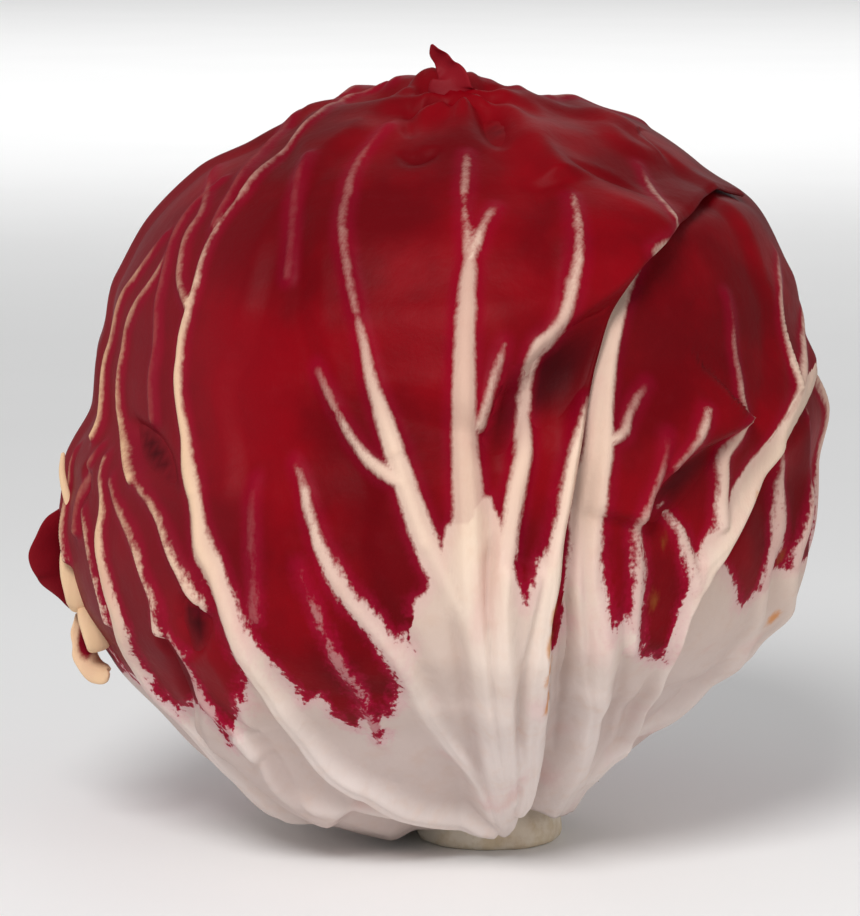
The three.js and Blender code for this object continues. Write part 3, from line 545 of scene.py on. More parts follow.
FRONT_CREASES = [
    crease(5.0, 2.8, [
        (486, 470), (495, 445), (513, 412), (540, 385), (570, 355), (600, 330), (630, 300)]),
    crease(1.6, 1.6, [(450, 600), (459, 639), (469, 694), (478, 759), (488, 790)]),
    crease(1.4, 0.9, [(418, 545), (426, 557), (440, 590), (451, 619), (466, 670)]),
    crease(1.3, 0.9, [(493, 530), (490, 560), (490, 600), (490, 660)]),
    crease(1.2, 1.2, [(240, 718), (257, 731), (277, 759), (309, 794), (344, 808)]),
    crease(1.8, 2.0, [(150, 630), (160, 642), (175, 662), (185, 690), (197, 716), (215, 745)]),
    crease(2.4, 3.2, [(182, 590), (188, 606), (192, 616), (194, 640), (188, 660)]),
    crease(2.2, 2.6, [(128, 415), (136, 434), (146, 450), (160, 470), (178, 495)]),
    crease(1.6, 1.6, [(82, 462), (83, 480), (80, 500)]),
    crease(1.6, 1.4, [(409, 106), (409, 120), (409, 137)]),
    crease(2.4, 2.0, [(478, 88), (486, 100), (492, 115), (497, 135), (506, 150)]),
    crease(1.8, 2.2, [(412, 108), (425, 110), (441, 107), (460, 108), (478, 112)]),
    crease(1.4, 1.0, [(396, 150), (412, 158), (430, 152), (440, 148)]),
    crease(1.4, 0.8, [(560, 165), (590, 172), (620, 184), (650, 200)]),
]

FRONT_FOLDS = [
    fold(3.6, 15, 1.3, 1, [
        (478, 440), (484, 420), (493, 394), (506, 380), (523, 359), (538, 349), (558, 330), (576, 318),
        (605, 298), (634, 275), (652, 258), (670, 238), (693, 213)]),
    fold(2.4, 9, 0.9, 1, [
        (190, 690), (202, 726), (222, 745), (245, 759), (284, 789), (324, 808), (350, 815)]),
    fold(1.8, 5, 0.8, -1, [
        (536, 560), (533, 581), (523, 628), (515, 663), (507, 698), (507, 721), (512, 745), (515, 774)]),
    fold(1.8, 4, 3.5, 1, [(486, 90), (496, 99), (507, 116), (521, 137), (545, 168), (560, 190)]),
    fold(1.8, 2.2, 2.2, 1, [(402, 104), (411, 98), (424, 93), (446, 97), (466, 92), (480, 88)]),
    fold(1.4, 6, 3, 1, [(560, 102), (590, 118), (620, 138), (640, 150), (660, 152)]),
]

# The leaves, from the innermost outwards
LEAVES = []
LEAVES.append(Leaf(
    "leaf_back", 205, (15, 176),
    left=[("at", [(15, -14), (45, -48), (90, -68), (140, -60), (165, -34), (176, -20)])],
    right=[("at", [(15, 14), (45, 46), (90, 66), (140, 58), (165, 34), (176, 20)])],
    wave=0.8))
LEAVES.append(Leaf(
    "leaf_back_left", -98, (15, 180),
    left=[("at", [(15, -14), (45, -34), (90, -44), (140, -36), (165, -24), (180, -14)])],
    right=[("at", [(15, 14), (45, 44), (90, 62), (140, 54), (165, 34), (180, 20)])],
    wave=0.8, middle=-14))
LEAVES.append(Leaf(
    "leaf_back_right", 138, (15, 178),
    left=[("at", [(15, -18), (45, -66), (90, -84), (140, -64), (165, -32), (178, -18)])],
    right=[("at", [(15, 14), (45, 30), (90, 38), (140, 32), (165, 22), (178, 14)])],
    wave=0.4, ribs=BACK_RIGHT_RIBS))
LEAVES.append(Leaf(
    "leaf_right_under", 66, (15, 150),
    left=[("at", [(15, -10), (45, -30), (90, -44), (130, -34), (150, -14)])],
    right=[("at", [(15, 10), (35, 15)]), ("px", UNDER_MARGIN_PX), ("at", [(130, 22), (150, 12)])],
    wave=0.8, cells=(180, 96), white_edge=UNDER_WHITE_EDGE_PX, ribs=UNDER_RIBS))
LEAVES.append(Leaf(
    "leaf_right", 50, (14.5, 184),
    left=[("at", [(14.5, -14), (40, -40), (80, -58), (140, -56), (170, -30), (184, -16)])],
    right=[("at", [(14.5, 12)]), ("px", RIGHT_MARGIN_PX),
           ("at", [(120, 52), (145, 48), (168, 30), (184, 14)])],
    cells=(280, 192), white_edge=RIGHT_WHITE_EDGE_PX, ribs=RIGHT_RIBS, creases=RIGHT_CREASES,
    folds=RIGHT_FOLDS))
LEAVES.append(Leaf(
    "leaf_front", -20, (13.5, 200),
    left=[("at", [(13.5, -12), (40, -55), (70, -76), (140, -72), (168, -46), (205, -26)])],
    right=[("at", [(13.5, 8)]), ("px", FRONT_MARGIN_PX)],
    cells=(344, 260), white_edge=FRONT_WHITE_EDGE_PX, ribs=FRONT_RIBS, creases=FRONT_CREASES,
    folds=FRONT_FOLDS, pinch=True))

# Brown spots and orange stains: pixel, radius in millimetres, strength. They are drawn out upwards.
STAINS = [
    ((759, 487), 1.2, 0.8), ((752, 499), 1.0, 0.8), ((652, 601), 1.6, 0.8), ((664, 540), 1.2, 0.6),
    ((552, 612), 1.4, 1.0), ((549, 640), 1.5, 1.0), ((547, 668), 1.4, 0.9), ((545, 695), 1.4, 1.0),
    ((772, 616), 1.4, 0.8), ((795, 599), 1.4, 0.8), ((780, 560), 1.2, 0.6), ((798, 575), 1.6, 0.9)]
STAIN_STRETCH = 0.45

# Where the front leaf is pinched into its tip
TIP_FOOT_PX = (458, 104)
PINCH_HEIGHT, PINCH_REACH = 2.6, 6.0
PLEATS, PLEAT_HEIGHT, PLEAT_START, PLEAT_REACH, PLEAT_TWIST = 7, 0.9, 5, 14.0, 0.12


# Surfaces
def pinch_height(d):
    """The rise towards the tip, with the pleats that run into it."""
    foot = pixel_dirs([TIP_FOOT_PX])[0]
    off = (d - foot) * MEAN_RADIUS
    reach = np.linalg.norm(off, axis=1)
    turn = np.arctan2(off[:, 0], off @ np.cross([1, 0, 0], foot))
    pleat = 1 + np.sin(PLEATS * turn + PLEAT_TWIST * reach)
    pleats = PLEAT_HEIGHT * pleat * smooth(0, PLEAT_START, reach) * bell(reach / PLEAT_REACH)
    return PINCH_HEIGHT * bell(reach / PINCH_REACH) + pleats


def sunk_radius(d, gaps):
    """The radius left inside the leaves, for directions and their distances outside each leaf."""
    radius = head_radius(d)
    for leaf, gap in zip(LEAVES, gaps):
        soft = 1 - smooth(-COVER_SOFT, COVER_SOFT, gap)
        radius = radius - soft * (leaf.thickness(d) + LEAF_GAP)
    return radius


def crumple(d, seed):
    """Low smooth bumps over the head, the same each time."""
    total = np.zeros(len(d))
    for k in range(CRUMPLE_WAVES):
        way = unit([draw(seed + 3 * k + axis) - 0.5 for axis in range(3)])
        closer = 1 + 0.35 * k
        total += np.sin(d @ way * MEAN_RADIUS / CRUMPLE_SCALE * closer + 6 * draw(seed + 70 + k))
    return total / CRUMPLE_WAVES


def seen_base(white_edge, d):
    """How far a direction is inside the white base, whose upper edge is a line in the photograph."""
    x, y = seen_pixels(d)
    edge_x, edge_y = np.array(white_edge, float).T
    distance = nearest(unit(pixel_dirs(white_edge)) * MEAN_RADIUS, d)[0]
    return distance * np.where(y > np.interp(x, edge_x, edge_y), 1, -1)


def white_base(index, d, s, t):
    """How far directions are inside a leaf's white base: a zigzag edge where no photographed one shows."""
    leaf = LEAVES[index]
    zigzag = 7 * np.sin(np.radians(t * 9 + index * 40)) + 4 * np.sin(np.radians(t * 23))
    base = WHITE_FROM + zigzag - s
    if leaf.white_edge:
        base = np.where(d @ TO_CAMERA > 0.05, seen_base(leaf.white_edge, d), base)
    return base


def rib_fields(leaf, d):
    """The height of a leaf's ribs, how far inside a pale band directions are, and how pale it is."""
    height = np.zeros(len(d))
    pale = np.full(len(d), -float(PALE_LIMIT))
    tone = np.zeros(len(d))
    for one in leaf.ribs:
        distance, along, _ = nearest(one["line"], d)
        relief = np.maximum(between(one["relief"], along), THIN_RIDGE)
        groove = 1 - GROOVE_DEPTH * smooth(*GROOVE_SPAN, relief) * bell(distance / (GROOVE_SHARE * relief))
        height = np.maximum(height, between(one["height"], along) * groove * bell(distance / relief))
        wide = np.maximum(between(one["white"], along), THIN_VEIN)
        inside = np.hypot(wide, VEIN_SOFT) - np.hypot(distance, VEIN_SOFT)
        inside = inside - VEIN_POINT * smooth(*POINTED_SPAN, along)
        fading = 1 - smooth(*FADING_SPAN, along) if one["strength"][1] < FAINT else 1
        whiter = inside > pale
        pale = np.where(whiter, inside, pale)
        tone = np.where(whiter, between(one["strength"], along) * fading, tone)
    return height, pale, tone


def lift_field(index, d, edge, s, t):
    """How far a leaf's waves, bumps and folds lift it off what lies under it."""
    leaf = LEAVES[index]
    near = 1 - smooth(0, EDGE_WAVE_REACH, edge)
    ends = smooth(leaf.low + WAVE_START, leaf.low + WAVE_FULL, s)
    lift = leaf.wave * near * ends * (1 + np.sin(np.radians(s * 8 + t * 5) + index))
    bumps = CRUMPLE_HEIGHT * (1 + crumple(d, index * 11))
    lift = lift + bumps * smooth(*CRUMPLED_SPAN, s) * smooth(0, CRUMPLE_INSET, edge)
    for one in leaf.folds:
        distance, along, side = nearest(one["line"], d)
        fade = smooth(0, 0.15, along) * smooth(0, 0.12, 1 - along)
        width = np.where(side == one["high_side"], one["reach"], one["drop"])
        lift = lift + one["height"] * fade * bell(distance / width)
    return lift


def leaf_fields(index, d, edge):
    """A leaf's inner and outer radii and colour fields, for directions and distances to its margin."""
    leaf = LEAVES[index]
    gaps = [other.outside(d) for other in LEAVES]
    under = sunk_radius(d, gaps) + LEAF_GAP
    for lower, gap in zip(LEAVES[:index], gaps):
        under = under + (1 - smooth(*COVER_SPAN, gap)) * (lower.thickness(d) + LEAF_GAP)
    free = np.ones(len(d))
    for gap in gaps[index + 1:]:
        free = free * smooth(*PRESS_SPAN, gap)
    s, t = leaf_place(leaf.axes, d)
    ribs, pale, tone = rib_fields(leaf, d)
    base = white_base(index, d, s, t)
    tone = np.where(base > pale, 1, tone)
    pale = np.maximum(base, pale)
    for one in leaf.creases:
        distance, along, _ = nearest(one["line"], d)
        fade = np.sin(np.pi * along)
        ribs = ribs - one["depth"] * fade * bell(distance / (one["width"] * (0.35 + 0.65 * fade)))
    ribs = ribs * free + (pinch_height(d) if leaf.pinch else 0)
    round_off = smooth(0, MARGIN_ROUND, edge)
    thickness = MARGIN_THICKNESS + (leaf.thickness(d) - MARGIN_THICKNESS) * round_off
    inner = under + lift_field(index, d, edge, s, t) * free
    outer = inner + thickness + ribs * round_off
    root = 1 - smooth(*ROOT_SPAN, s)
    return inner, outer, dict(pale=pale, tone=tone, root=root, ridge=ribs)


def left_light_field(d):
    """Painted warm light and sheen on the left side, where the light falls: how much of it, most on the
    left.
    """
    return smooth(0.35, 0.9, -d[:, 0])


def stain_field(d):
    amount = np.zeros(len(d))
    for pixel, radius, strength in STAINS:
        off = (d - pixel_dirs([pixel])[0]) * MEAN_RADIUS * [1, 1, STAIN_STRETCH]
        amount = np.maximum(amount, strength * bell(np.linalg.norm(off, axis=1) / radius))
    return amount


def surface_points(d, radius, floor):
    """Points at radii in directions, none of them below the floor."""
    reach = np.where(d[:, 2] < -0.01, (CENTRE[2] - floor) / np.maximum(-d[:, 2], 0.01), FAR)
    return CENTRE + d * np.minimum(radius, reach)[:, None]


# Shader maths on sockets
def feed(tree, place, item):
    """Gives an input of a node a value or a constant."""
    if isinstance(item, Value):
        tree.links.new(item.socket, place)
    else:
        place.default_value = item


def add_node(tree, kind, settings, inputs, output=0):
    """Adds a node with its settings and inputs, and gives back one of its outputs."""
    node = tree.nodes.new(kind)
    for name, setting in settings.items():
        setattr(node, name, setting)
    for place, item in inputs.items():
        feed(tree, node.inputs[place], item)
    return Value(tree, node.outputs[output])


class Value:
    """Wraps a socket, so that an expression on values adds its Math nodes."""

    def __init__(self, tree, socket):
        self.tree, self.socket = tree, socket

    def math(self, operation, first, second):
        return add_node(self.tree, "ShaderNodeMath", {"operation": operation}, {0: first, 1: second})

    def __add__(self, other):
        return self.math("ADD", self, other)

    def __sub__(self, other):
        return self.math("SUBTRACT", self, other)

    def __rsub__(self, other):
        return self.math("SUBTRACT", other, self)

    def __mul__(self, other):
        return self.math("MULTIPLY", self, other)

    __radd__ = __add__
    __rmul__ = __mul__

    def step(self, low, high):
        """0 below low, 1 above high, and a smooth ramp between."""
        return add_node(self.tree, "ShaderNodeMapRange", {"interpolation_type": "SMOOTHSTEP"},
                        {"Value": self, "From Min": low, "From Max": high}, "Result")


class Finish:
    """A material under construction."""

    def __init__(self, name):
        self.material = bpy.data.materials.new(name)
        self.material.use_nodes = True
        self.tree = self.material.node_tree
        self.shader = self.tree.nodes["Principled BSDF"]

    def field(self, name):
        return add_node(self.tree, "ShaderNodeAttribute", {"attribute_name": name}, {}, "Fac")

    def noise(self, scale, detail=3, stretch=(1, 1, 1), rough=0.5):
        coords = add_node(self.tree, "ShaderNodeTexCoord", {}, {}, "Object")
        place = add_node(self.tree, "ShaderNodeMapping", {}, {"Vector": coords, "Scale": stretch})
        return add_node(self.tree, "ShaderNodeTexNoise", {},
                        {"Vector": place, "Scale": scale, "Detail": detail, "Roughness": rough})

    def mix(self, factor, a, b):
        return add_node(self.tree, "ShaderNodeMix", {"data_type": "RGBA"}, {0: factor, 6: a, 7: b}, 2)

    def bump(self, height, distance, strength):
        return add_node(self.tree, "ShaderNodeBump", {},
                        {"Height": height, "Distance": distance, "Strength": strength})

    def finish(self, inputs):
        for name, item in inputs.items():
            feed(self.tree, self.shader.inputs[name], item)
        return self.material


def colour(red, green, blue):
    """A colour from screen values of 0 to 255."""
    channels = [c / 255 for c in (red, green, blue)]
    return tuple(c / 12.92 if c <= 0.04045 else ((c + 0.055) / 1.055) ** 2.4 for c in channels) + (1,)


CRIMSON = colour(124, 0, 12)
DEEP_CRIMSON = colour(94, 0, 7)
SHEEN_AND_MOTTLE_RED = colour(124, 30, 40)
CREASE_SHADE_RED = colour(34, 0, 3)
MAGENTA = colour(160, 8, 54)
WARM_CREAM = colour(224, 198, 174)
LEFT_LIT_CREAM = colour(228, 190, 142)
COOL_WHITE = colour(220, 206, 200)
SAND = colour(214, 176, 150)
VALLEY_SHADE_GREY = colour(160, 134, 126)
BLUSH = colour(204, 136, 152)
ROSE = colour(196, 96, 110)
STAIN_BROWN = colour(128, 66, 26)
STAIN_ORANGE = colour(200, 132, 72)
STEM_CREAM = colour(222, 210, 192)
STEM_TAN = colour(204, 186, 158)
STEM_BROWN = colour(160, 122, 84)
FLOOR_WHITE = colour(246, 246, 246)
FLOOR_SHADE = colour(242, 242, 242)


def leaf_finish():
    f = Finish("crimson_leaf")
    pale, tone, root, left_light = [f.field(name) for name in ("pale", "tone", "root", "left_light")]
    ridge, stain = f.field("ridge"), f.field("stain")
    # The edge between white and red, feathered more towards the root
    streaks = f.noise(scale=420, detail=4, stretch=(1, 1, 0.3), rough=0.65) - 0.5
    grains = f.noise(scale=1500, detail=2) - 0.5
    ragged = pale + streaks * (0.9 + root * 6.5) + grains * (0.4 + root * 3.0)
    white = ragged.step(-0.35, 0.45)
    veil = ragged.step(-2.2, 0.3)
    # The red
    patches = f.noise(scale=45, detail=4)
    mottle = f.noise(scale=330, detail=5, rough=0.6)
    red = f.mix(patches.step(0.36, 0.66), DEEP_CRIMSON, CRIMSON)
    # Painted sheen on the left side, with a little random mottle
    red = f.mix(left_light * 0.6 + mottle.step(0.5, 0.85) * 0.1, red, SHEEN_AND_MOTTLE_RED)
    red = f.mix(veil * (0.25 + root * 0.65), red, MAGENTA)
    # Painted shade in creases and hollows, where the relief sinks
    red = f.mix((0 - ridge).step(0.5, 3.2) * 0.9, red, CREASE_SHADE_RED)
    # The white, with painted shade in its valleys
    flush = f.noise(scale=120, detail=4, stretch=(1, 1, 0.25))
    # Painted warm light on the left side of the white, which turns cool white towards the root
    cream = f.mix(root, f.mix(left_light, WARM_CREAM, LEFT_LIT_CREAM), COOL_WHITE)
    cream = f.mix(mottle.step(0.45, 0.8) * 0.25, cream, SAND)
    cream = f.mix((1 - ridge.step(-0.8, 2.2)) * 0.5, cream, VALLEY_SHADE_GREY)
    cream = f.mix((1 - ragged.step(0.1, 2.8)) * (0.1 + root * 0.3), cream, BLUSH)
    cream = f.mix(flush.step(0.55, 0.8) * 0.22, cream, ROSE)
    # Both together, with the stains
    skin = f.mix(white * tone, red, cream)
    stained = f.mix(white, STAIN_BROWN, STAIN_ORANGE)
    spotted = (stain + streaks * 1.6).step(0.35, 1.0) * stain.step(0.1, 0.4) * 0.85
    skin = f.mix(spotted, skin, stained)
    # Fine relief and sheen
    fibres = f.noise(scale=700, detail=3, stretch=(1, 1, 0.12)) * white
    relief = f.bump(mottle * 0.5 + fibres * 0.5, distance=0.0006, strength=0.5)
    return f.finish({"Base Color": skin, "Roughness": 0.42 + mottle * 0.16 + white * 0.06,
                     "Normal": relief, "Specular IOR Level": 0.14, "IOR": 1.3})


def stem_finish():
    f = Finish("cut_stem")
    rings = f.noise(scale=300, detail=5, rough=0.6)
    wet = f.noise(scale=60)
    body = f.mix(rings.step(0.4, 0.7), STEM_CREAM, STEM_TAN)
    body = f.mix(wet.step(0.5, 0.75) * 0.4, body, STEM_BROWN)
    relief = f.bump(rings, distance=0.0008, strength=0.6)
    return f.finish({"Base Color": body, "Roughness": 0.6 + rings * 0.2, "Normal": relief})


LEAF_FINISH = leaf_finish()
STEM_FINISH = stem_finish()


# Meshes
def new_piece(name, bm, node):
    mesh = bpy.data.meshes.new(name)
    bm.to_mesh(mesh)
    bm.free()
    mesh.shade_smooth()
    piece = bpy.data.objects.new(name, mesh)
    bpy.context.scene.collection.objects.link(piece)
    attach(piece, "root")
    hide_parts(node)
    return piece


def read_points(mesh):
    co = np.zeros(len(mesh.vertices) * 3, np.float32)
    mesh.vertices.foreach_get("co", co)
    return co.reshape(-1, 3).astype(float)


def write_points(mesh, points):
    mesh.vertices.foreach_set("co", (points * METRES).astype(np.float32).ravel())
    mesh.update()


def paint(piece, pale, tone=1, root=0, left_light=0, ridge=1, stain=0):
    """Gives a piece the leaf material and what it reads, each as one value or as one for each vertex."""
    count = len(piece.data.vertices)
    pale = np.clip(pale, -PALE_LIMIT, PALE_LIMIT)
    fields = dict(pale=pale, tone=tone, root=root, left_light=left_light, ridge=ridge, stain=stain)
    for name, values in fields.items():
        layer = piece.data.attributes.new(name, "FLOAT", "POINT")
        layer.data.foreach_set("value", np.broadcast_to(values, count).astype(np.float32))
    piece.data.materials.append(LEAF_FINISH)


def face_out(piece):
    """Turns the faces outward if the closed mesh came out inside out."""
    bm = bmesh.new()
    bm.from_mesh(piece.data)
    if bm.calc_volume(signed=True) < 0:
        bmesh.ops.reverse_faces(bm, faces=bm.faces)
        bm.to_mesh(piece.data)
    bm.free()


def blade(rows, columns):
    """A closed sheet: x and y are shares of its length and width, z is 1 on its fine outer face."""
    bm = bmesh.new()
    for height, coarser in ((1, 1), (0, INNER_COARSER)):
        made = bmesh.ops.create_grid(
            bm, x_segments=rows // coarser, y_segments=columns // coarser, size=0.5)
        bmesh.ops.translate(bm, verts=made["verts"], vec=(0.5, 0.5, height))
    bmesh.ops.bridge_loops(bm, edges=[e for e in bm.edges if e.is_boundary])
    bmesh.ops.recalc_face_normals(bm, faces=bm.faces)
    return bm


def make_leaf(index):
    leaf = LEAVES[index]
    piece = new_piece(leaf.name + "_blade", blade(*leaf.cells), leaf.name)
    share = read_points(piece.data)
    s, t = leaf.place(share[:, 0], share[:, 1])
    d = leaf_dir(leaf.axes, s, t)
    rim = np.isclose(share[:, 0], 1) | np.isclose(share[:, 1] % 1, 0, atol=1e-5)
    edge = np.where(rim, 0, nearest(leaf.outline, d)[0])
    inner, outer, fields = leaf_fields(index, d, edge)
    outer_face = share[:, 2] > 0.5
    inside = surface_points(d, inner, MARGIN_THICKNESS)
    write_points(piece.data, np.where(outer_face[:, None], surface_points(d, outer, 0.0), inside))
    paint(piece, **fields, left_light=left_light_field(d), stain=stain_field(d))
    face_out(piece)


def make_heart():
    """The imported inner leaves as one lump, with low laps that wind round it."""
    bm = bmesh.new()
    bmesh.ops.create_icosphere(bm, subdivisions=6, radius=1)
    piece = new_piece("inner_head_leaves", bm, "inner_head")
    d = unit(read_points(piece.data))
    s, _ = leaf_place(leaf_frame(0), d)
    turn = np.degrees(np.arctan2(d[:, 0], -d[:, 1]))
    swirl = (turn * HEART_LAPS + s * HEART_TWIST) % 360
    lap = smooth(0, 30, swirl) * (1 - swirl / 360)
    radius = sunk_radius(d, [leaf.outside(d) for leaf in LEAVES]) - LAP_RISE + LAP_RISE * lap
    write_points(piece.data, surface_points(d, radius, HEART_CUT))
    paint(piece, HEART_WHITE_FROM - s, root=1 - smooth(*ROOT_SPAN, s), left_light=left_light_field(d))
    face_out(piece)


def make_stem():
    bm = bmesh.new()
    bmesh.ops.create_circle(bm, cap_ends=False, segments=STEM_SIDES, radius=STEM_RADIUS - STEM_BEVEL)
    ring = bm.edges[:]
    for height, wider in STEM_PROFILE:
        grown = bmesh.ops.extrude_edge_only(bm, edges=ring)["geom"]
        ring = [g for g in grown if isinstance(g, bmesh.types.BMEdge)]
        for v in {v for e in ring for v in e.verts}:
            flat = Vector((v.co.x, v.co.y, 0)).normalized() * (STEM_RADIUS + wider)
            v.co = Vector((flat.x, flat.y, height))
    rims = [e for e in bm.edges if e.is_boundary]
    bmesh.ops.holes_fill(bm, edges=rims, sides=0)
    for cap in [face for face in bm.faces if len(face.verts) > 4]:
        bmesh.ops.inset_region(bm, faces=[cap], thickness=STEM_RIM)
        bmesh.ops.poke(bm, faces=[cap])
    bmesh.ops.recalc_face_normals(bm, faces=bm.faces)
    for v in bm.verts:
        turn = math.atan2(v.co.y, v.co.x)
        wobble = 1 + 0.012 * math.sin(5 * turn) + 0.008 * math.sin(11 * turn + 1)
        lean = v.co.z / CENTRE[2]
        x = v.co.x * wobble + CENTRE[0] * lean
        y = v.co.y * wobble + CENTRE[1] * lean
        v.co = Vector((x, y, v.co.z)) * METRES
    piece = new_piece("stem_stub", bm, "stem")
    piece.data.materials.append(STEM_FINISH)


# Ribbons along a route. Each stop has its pixel, how far it is in front of the head's centre, its half-width
# and half-thickness, its turn in degrees and its curl. The tip's stops start from the depth of its foot.
TIP_STOPS = [
    (456, 122, -2, 4.4, 1.6, 0, 0.0), (453, 104, -2, 4.4, 1.5, 0, 0.2), (452, 89, -2, 3.9, 1.0, 8, 0.6),
    (453, 78, -2, 2.6, 0.7, 18, 0.9), (449, 68, -2.5, 1.8, 0.55, 25, 0.9),
    (443, 59, -2.5, 1.6, 0.5, 30, 0.8), (436, 51, -2, 1.5, 0.45, 40, 0.6),
    (431, 44, -1.5, 0.9, 0.4, 50, 0.2)]
CURL_STOPS = [
    (70, 498, 0, 0.8, 0.4, 55, 0), (68, 514, 0, 3.6, 0.5, 60, -0.8), (64, 535, 0, 5.8, 0.5, 62, -1.8),
    (64, 556, 0, 6.4, 0.5, 62, -2.2), (67, 576, 0, 5.8, 0.5, 60, -2.0), (71, 594, 1, 4.2, 0.6, 58, -1.2),
    (75, 610, 2, 2.0, 0.7, 50, -0.4)]
LIP_STOPS = [
    (49, 528, 1, 0.5, 0.35, 60, 0), (41, 541, 1, 1.3, 0.4, 60, 0.4), (38, 552, 1, 1.6, 0.4, 62, 0.5),
    (39, 566, 1, 1.4, 0.4, 60, 0.4), (45, 577, 1, 0.7, 0.35, 50, 0)]
SMALL_RIB_STOPS = [
    (63, 452, 8, 0.5, 0.3, 0, 0), (62, 473, 8, 0.6, 0.4, 0, 0), (67, 497, 9, 0.7, 0.5, 0, 0),
    (75, 519, 9, 0.8, 0.5, 0, 0), (73, 535, 9, 1.0, 0.6, 5, 0), (69, 554, 8.5, 1.4, 0.7, 10, 0),
    (71, 573, 8, 1.8, 0.8, 15, 0), (77, 592, 7.5, 2.2, 0.9, 15, 0), (78, 603, 7, 2.1, 0.9, 12, 0),
    (77, 611, 6, 1.7, 0.9, 5, 0)]
CUT_END_STOPS = [
    (89, 607, 6, 2.1, 0.7, 30, 0), (91, 616, 7, 2.4, 1.0, 30, 0.2), (95, 630, 8, 2.4, 1.1, 30, 0.2),
    (98, 642, 8, 2.3, 1.1, 30, 0.2), (99, 650, 7.5, 2.1, 1.0, 30, 0)]
STRIP_STOPS = [
    (79, 612, 3, 1.6, 0.5, 60, -0.2), (82, 630, 3, 2.6, 0.6, 62, -0.5), (87, 650, 3.5, 3.0, 0.7, 60, -0.6),
    (94, 666, 5, 2.8, 0.9, 50, -0.5), (103, 675, 6, 2.0, 0.8, 30, -0.2), (109, 676, 6.5, 1.0, 0.6, 10, 0)]
STREAK_PX, STREAK_FORWARD, STREAK_RADIUS, STREAK_STRETCH = (86, 640), 4, 1.6, [1.3, 0.5, 0.45]
RED, CREAM = -5, 5
# Ribbons get the painted left-side light and sheen at one fixed share
RIBBON_LEFT_LIGHT, RIBBON_RIDGE = 0.7, 1.2
RUFFLES, BLUNT = 23, 0.35
ROUTE_FINER = 8


def view_point(px, py, forward):
    """The place that shows at a pixel, so far in front of the head's centre."""
    nearer = MM_PER_PX * (1 - forward / CAMERA_DISTANCE)
    across = (px - CENTRE_PX[0]) * nearer
    above = (CENTRE_PX[1] - py) * nearer
    return CENTRE + np.array([across, 0, 0]) + VIEW_UP * above + TO_CAMERA * forward


def tube(rows, sides):
    """An open tube as shares of its length and girth, closed by merging once its points are placed."""
    bm = bmesh.new()
    bmesh.ops.create_grid(bm, x_segments=rows, y_segments=sides, size=0.5)
    bmesh.ops.translate(bm, verts=bm.verts, vec=(0.5, 0.5, 0))
    return bm


def close_tube(mesh):
    bm = bmesh.new()
    bm.from_mesh(mesh)
    bmesh.ops.remove_doubles(bm, verts=bm.verts, dist=WELD)
    bmesh.ops.holes_fill(bm, edges=[e for e in bm.edges if e.is_boundary], sides=0)
    bmesh.ops.recalc_face_normals(bm, faces=bm.faces)
    bm.to_mesh(mesh)
    bm.free()
    mesh.shade_smooth()


def ribbon(name, node, stops, cells, ruffle=0.0, blunt=BLUNT, start=0.0):
    """A twisted blade through its stops."""
    piece = new_piece(name, tube(*cells), node)
    share = read_points(piece.data)
    route = finer([[*view_point(x, y, start + forward), *rest] for x, y, forward, *rest in stops],
                  ROUTE_FINER)
    last = len(route) - 1

    def sample(at):
        return np.stack([np.interp(at, np.arange(last + 1), column) for column in route.T], axis=1)

    at = share[:, 0] * last
    value = sample(at)
    tangent = unit((sample(np.minimum(at + 0.5, last)) - sample(np.maximum(at - 0.5, 0)))[:, :3])
    flat = unit(np.cross(tangent, TO_CAMERA))
    face = np.cross(flat, tangent)
    middle, (half_width, half_thickness, turn, curl) = value[:, :3], value[:, 3:].T
    turn = np.radians(turn)[:, None]
    wide = flat * np.cos(turn) + face * np.sin(turn)
    thin = np.cross(wide, tangent)
    round_angle = 2 * np.pi * share[:, 1]
    closed = np.sin(np.pi * np.clip(share[:, 0], 0, 1)) ** blunt
    out = half_width * np.cos(round_angle) * closed
    to_edge = np.cos(round_angle) ** 2 * closed
    rise = half_thickness * np.sin(round_angle) * closed + curl * to_edge
    rise = rise + ruffle * np.sin(share[:, 0] * RUFFLES) * to_edge
    write_points(piece.data, middle + wide * out[:, None] + thin * rise[:, None])
    close_tube(piece.data)
    return piece


def make_tip():
    start = float(pixel_dirs([TIP_FOOT_PX])[0] @ TO_CAMERA) * MEAN_RADIUS
    tip = ribbon("leaf_tip_twist", "leaf_front", TIP_STOPS, (100, 40), ruffle=0.2, start=start)
    paint(tip, RED, left_light=RIBBON_LEFT_LIGHT, ridge=RIBBON_RIDGE)


def make_small_leaf():
    node = "leaf_small_left"
    curl = ribbon("small_leaf_curl", node, CURL_STOPS, (120, 50), ruffle=0.3)
    lip = ribbon("small_leaf_lip", node, LIP_STOPS, (60, 28), ruffle=0.2)
    thick_rib = ribbon("small_leaf_rib", node, SMALL_RIB_STOPS, (150, 36), blunt=0.15)
    cut_end = ribbon("small_leaf_cut_end", node, CUT_END_STOPS, (60, 36), blunt=0.1)
    strip = ribbon("small_leaf_outer_strip", node, STRIP_STOPS, (90, 36), ruffle=0.15, blunt=0.2)
    off_streak = read_points(strip.data) / METRES - view_point(*STREAK_PX, STREAK_FORWARD)
    beside_streak = np.linalg.norm(off_streak * STREAK_STRETCH, axis=1) - STREAK_RADIUS
    colours = [(curl, RED), (lip, RED), (thick_rib, CREAM), (cut_end, CREAM), (strip, beside_streak)]
    for piece, pale in colours:
        paint(piece, pale, left_light=RIBBON_LEFT_LIGHT, ridge=RIBBON_RIDGE)


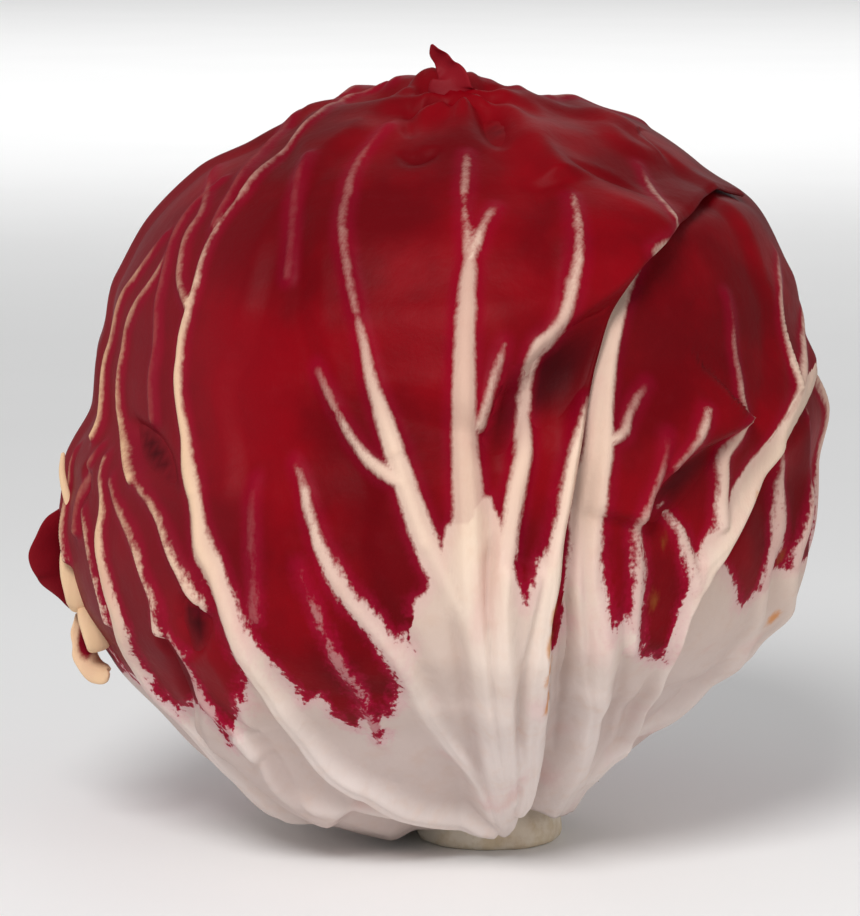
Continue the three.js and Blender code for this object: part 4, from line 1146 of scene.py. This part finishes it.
# The floor, the lights and the camera, in metres
FLOOR_SIZE = 6
WORLD_LIGHT = 0.44
HEAD_MIDDLE = tuple(CENTRE * METRES)
BACKDROP_MIDDLE = (0, 3.2, 0)
LIGHTS = [
    ("key", (-0.22, -0.75, 0.72), 0.4, 7.5, HEAD_MIDDLE),
    ("fill", (0.7, -0.6, 0.3), 0.7, 1.4, HEAD_MIDDLE),
    ("back", (0.2, 0.8, 0.6), 0.6, 0.5, HEAD_MIDDLE),
    ("backdrop", (0, 2.4, 1.3), 3.0, 26, BACKDROP_MIDDLE)]


def make_stage():
    bm = bmesh.new()
    bmesh.ops.create_grid(bm, x_segments=1, y_segments=1, size=FLOOR_SIZE)
    mesh = bpy.data.meshes.new("floor")
    bm.to_mesh(mesh)
    bm.free()
    floor = bpy.data.objects.new("floor", mesh)
    bpy.context.scene.collection.objects.link(floor)
    f = Finish("pale_floor")
    grain = f.noise(scale=8, detail=2)
    relief = f.bump(grain, distance=0.0001, strength=0.1)
    floor_colour = f.mix(grain, FLOOR_WHITE, FLOOR_SHADE)
    mesh.materials.append(f.finish({"Base Color": floor_colour, "Roughness": 0.8, "Normal": relief}))


def make_light(name, at, size, power, target):
    data = bpy.data.lights.new(name, "AREA")
    data.shape = "DISK"
    data.size = size
    data.energy = power
    light = bpy.data.objects.new(name, data)
    bpy.context.scene.collection.objects.link(light)
    light.location = at
    aim = Vector(target) - Vector(at)
    light.rotation_euler = aim.to_track_quat("-Z", "Y").to_euler()


def make_world():
    world = bpy.data.worlds.new("studio")
    world.use_nodes = True
    background = world.node_tree.nodes["Background"]
    background.inputs["Color"].default_value = (1, 1, 1, 1)
    background.inputs["Strength"].default_value = WORLD_LIGHT
    bpy.context.scene.world = world


def make_camera():
    data = bpy.data.cameras.new("view")
    data.sensor_fit = "VERTICAL"
    data.sensor_height = SENSOR_HEIGHT
    data.lens = SENSOR_HEIGHT * CAMERA_DISTANCE / (PICTURE_HEIGHT_PX * MM_PER_PX)
    camera = bpy.data.objects.new("view", data)
    bpy.context.scene.collection.objects.link(camera)
    across = (PICTURE_MIDDLE_PX[0] - CENTRE_PX[0]) * MM_PER_PX
    above = (CENTRE_PX[1] - PICTURE_MIDDLE_PX[1]) * MM_PER_PX
    target = CENTRE + np.array([across, 0, 0]) + VIEW_UP * above
    camera.location = Vector((target + TO_CAMERA * CAMERA_DISTANCE) * METRES)
    camera.rotation_euler = (math.radians(90 - CAMERA_ELEVATION), 0, 0)
    bpy.context.scene.camera = camera


make_stem()
make_heart()
for number in range(len(LEAVES)):
    make_leaf(number)
make_tip()
make_small_leaf()
make_stage()
for light in LIGHTS:
    make_light(*light)
make_world()
make_camera()
bpy.context.scene.view_settings.view_transform = "Standard"
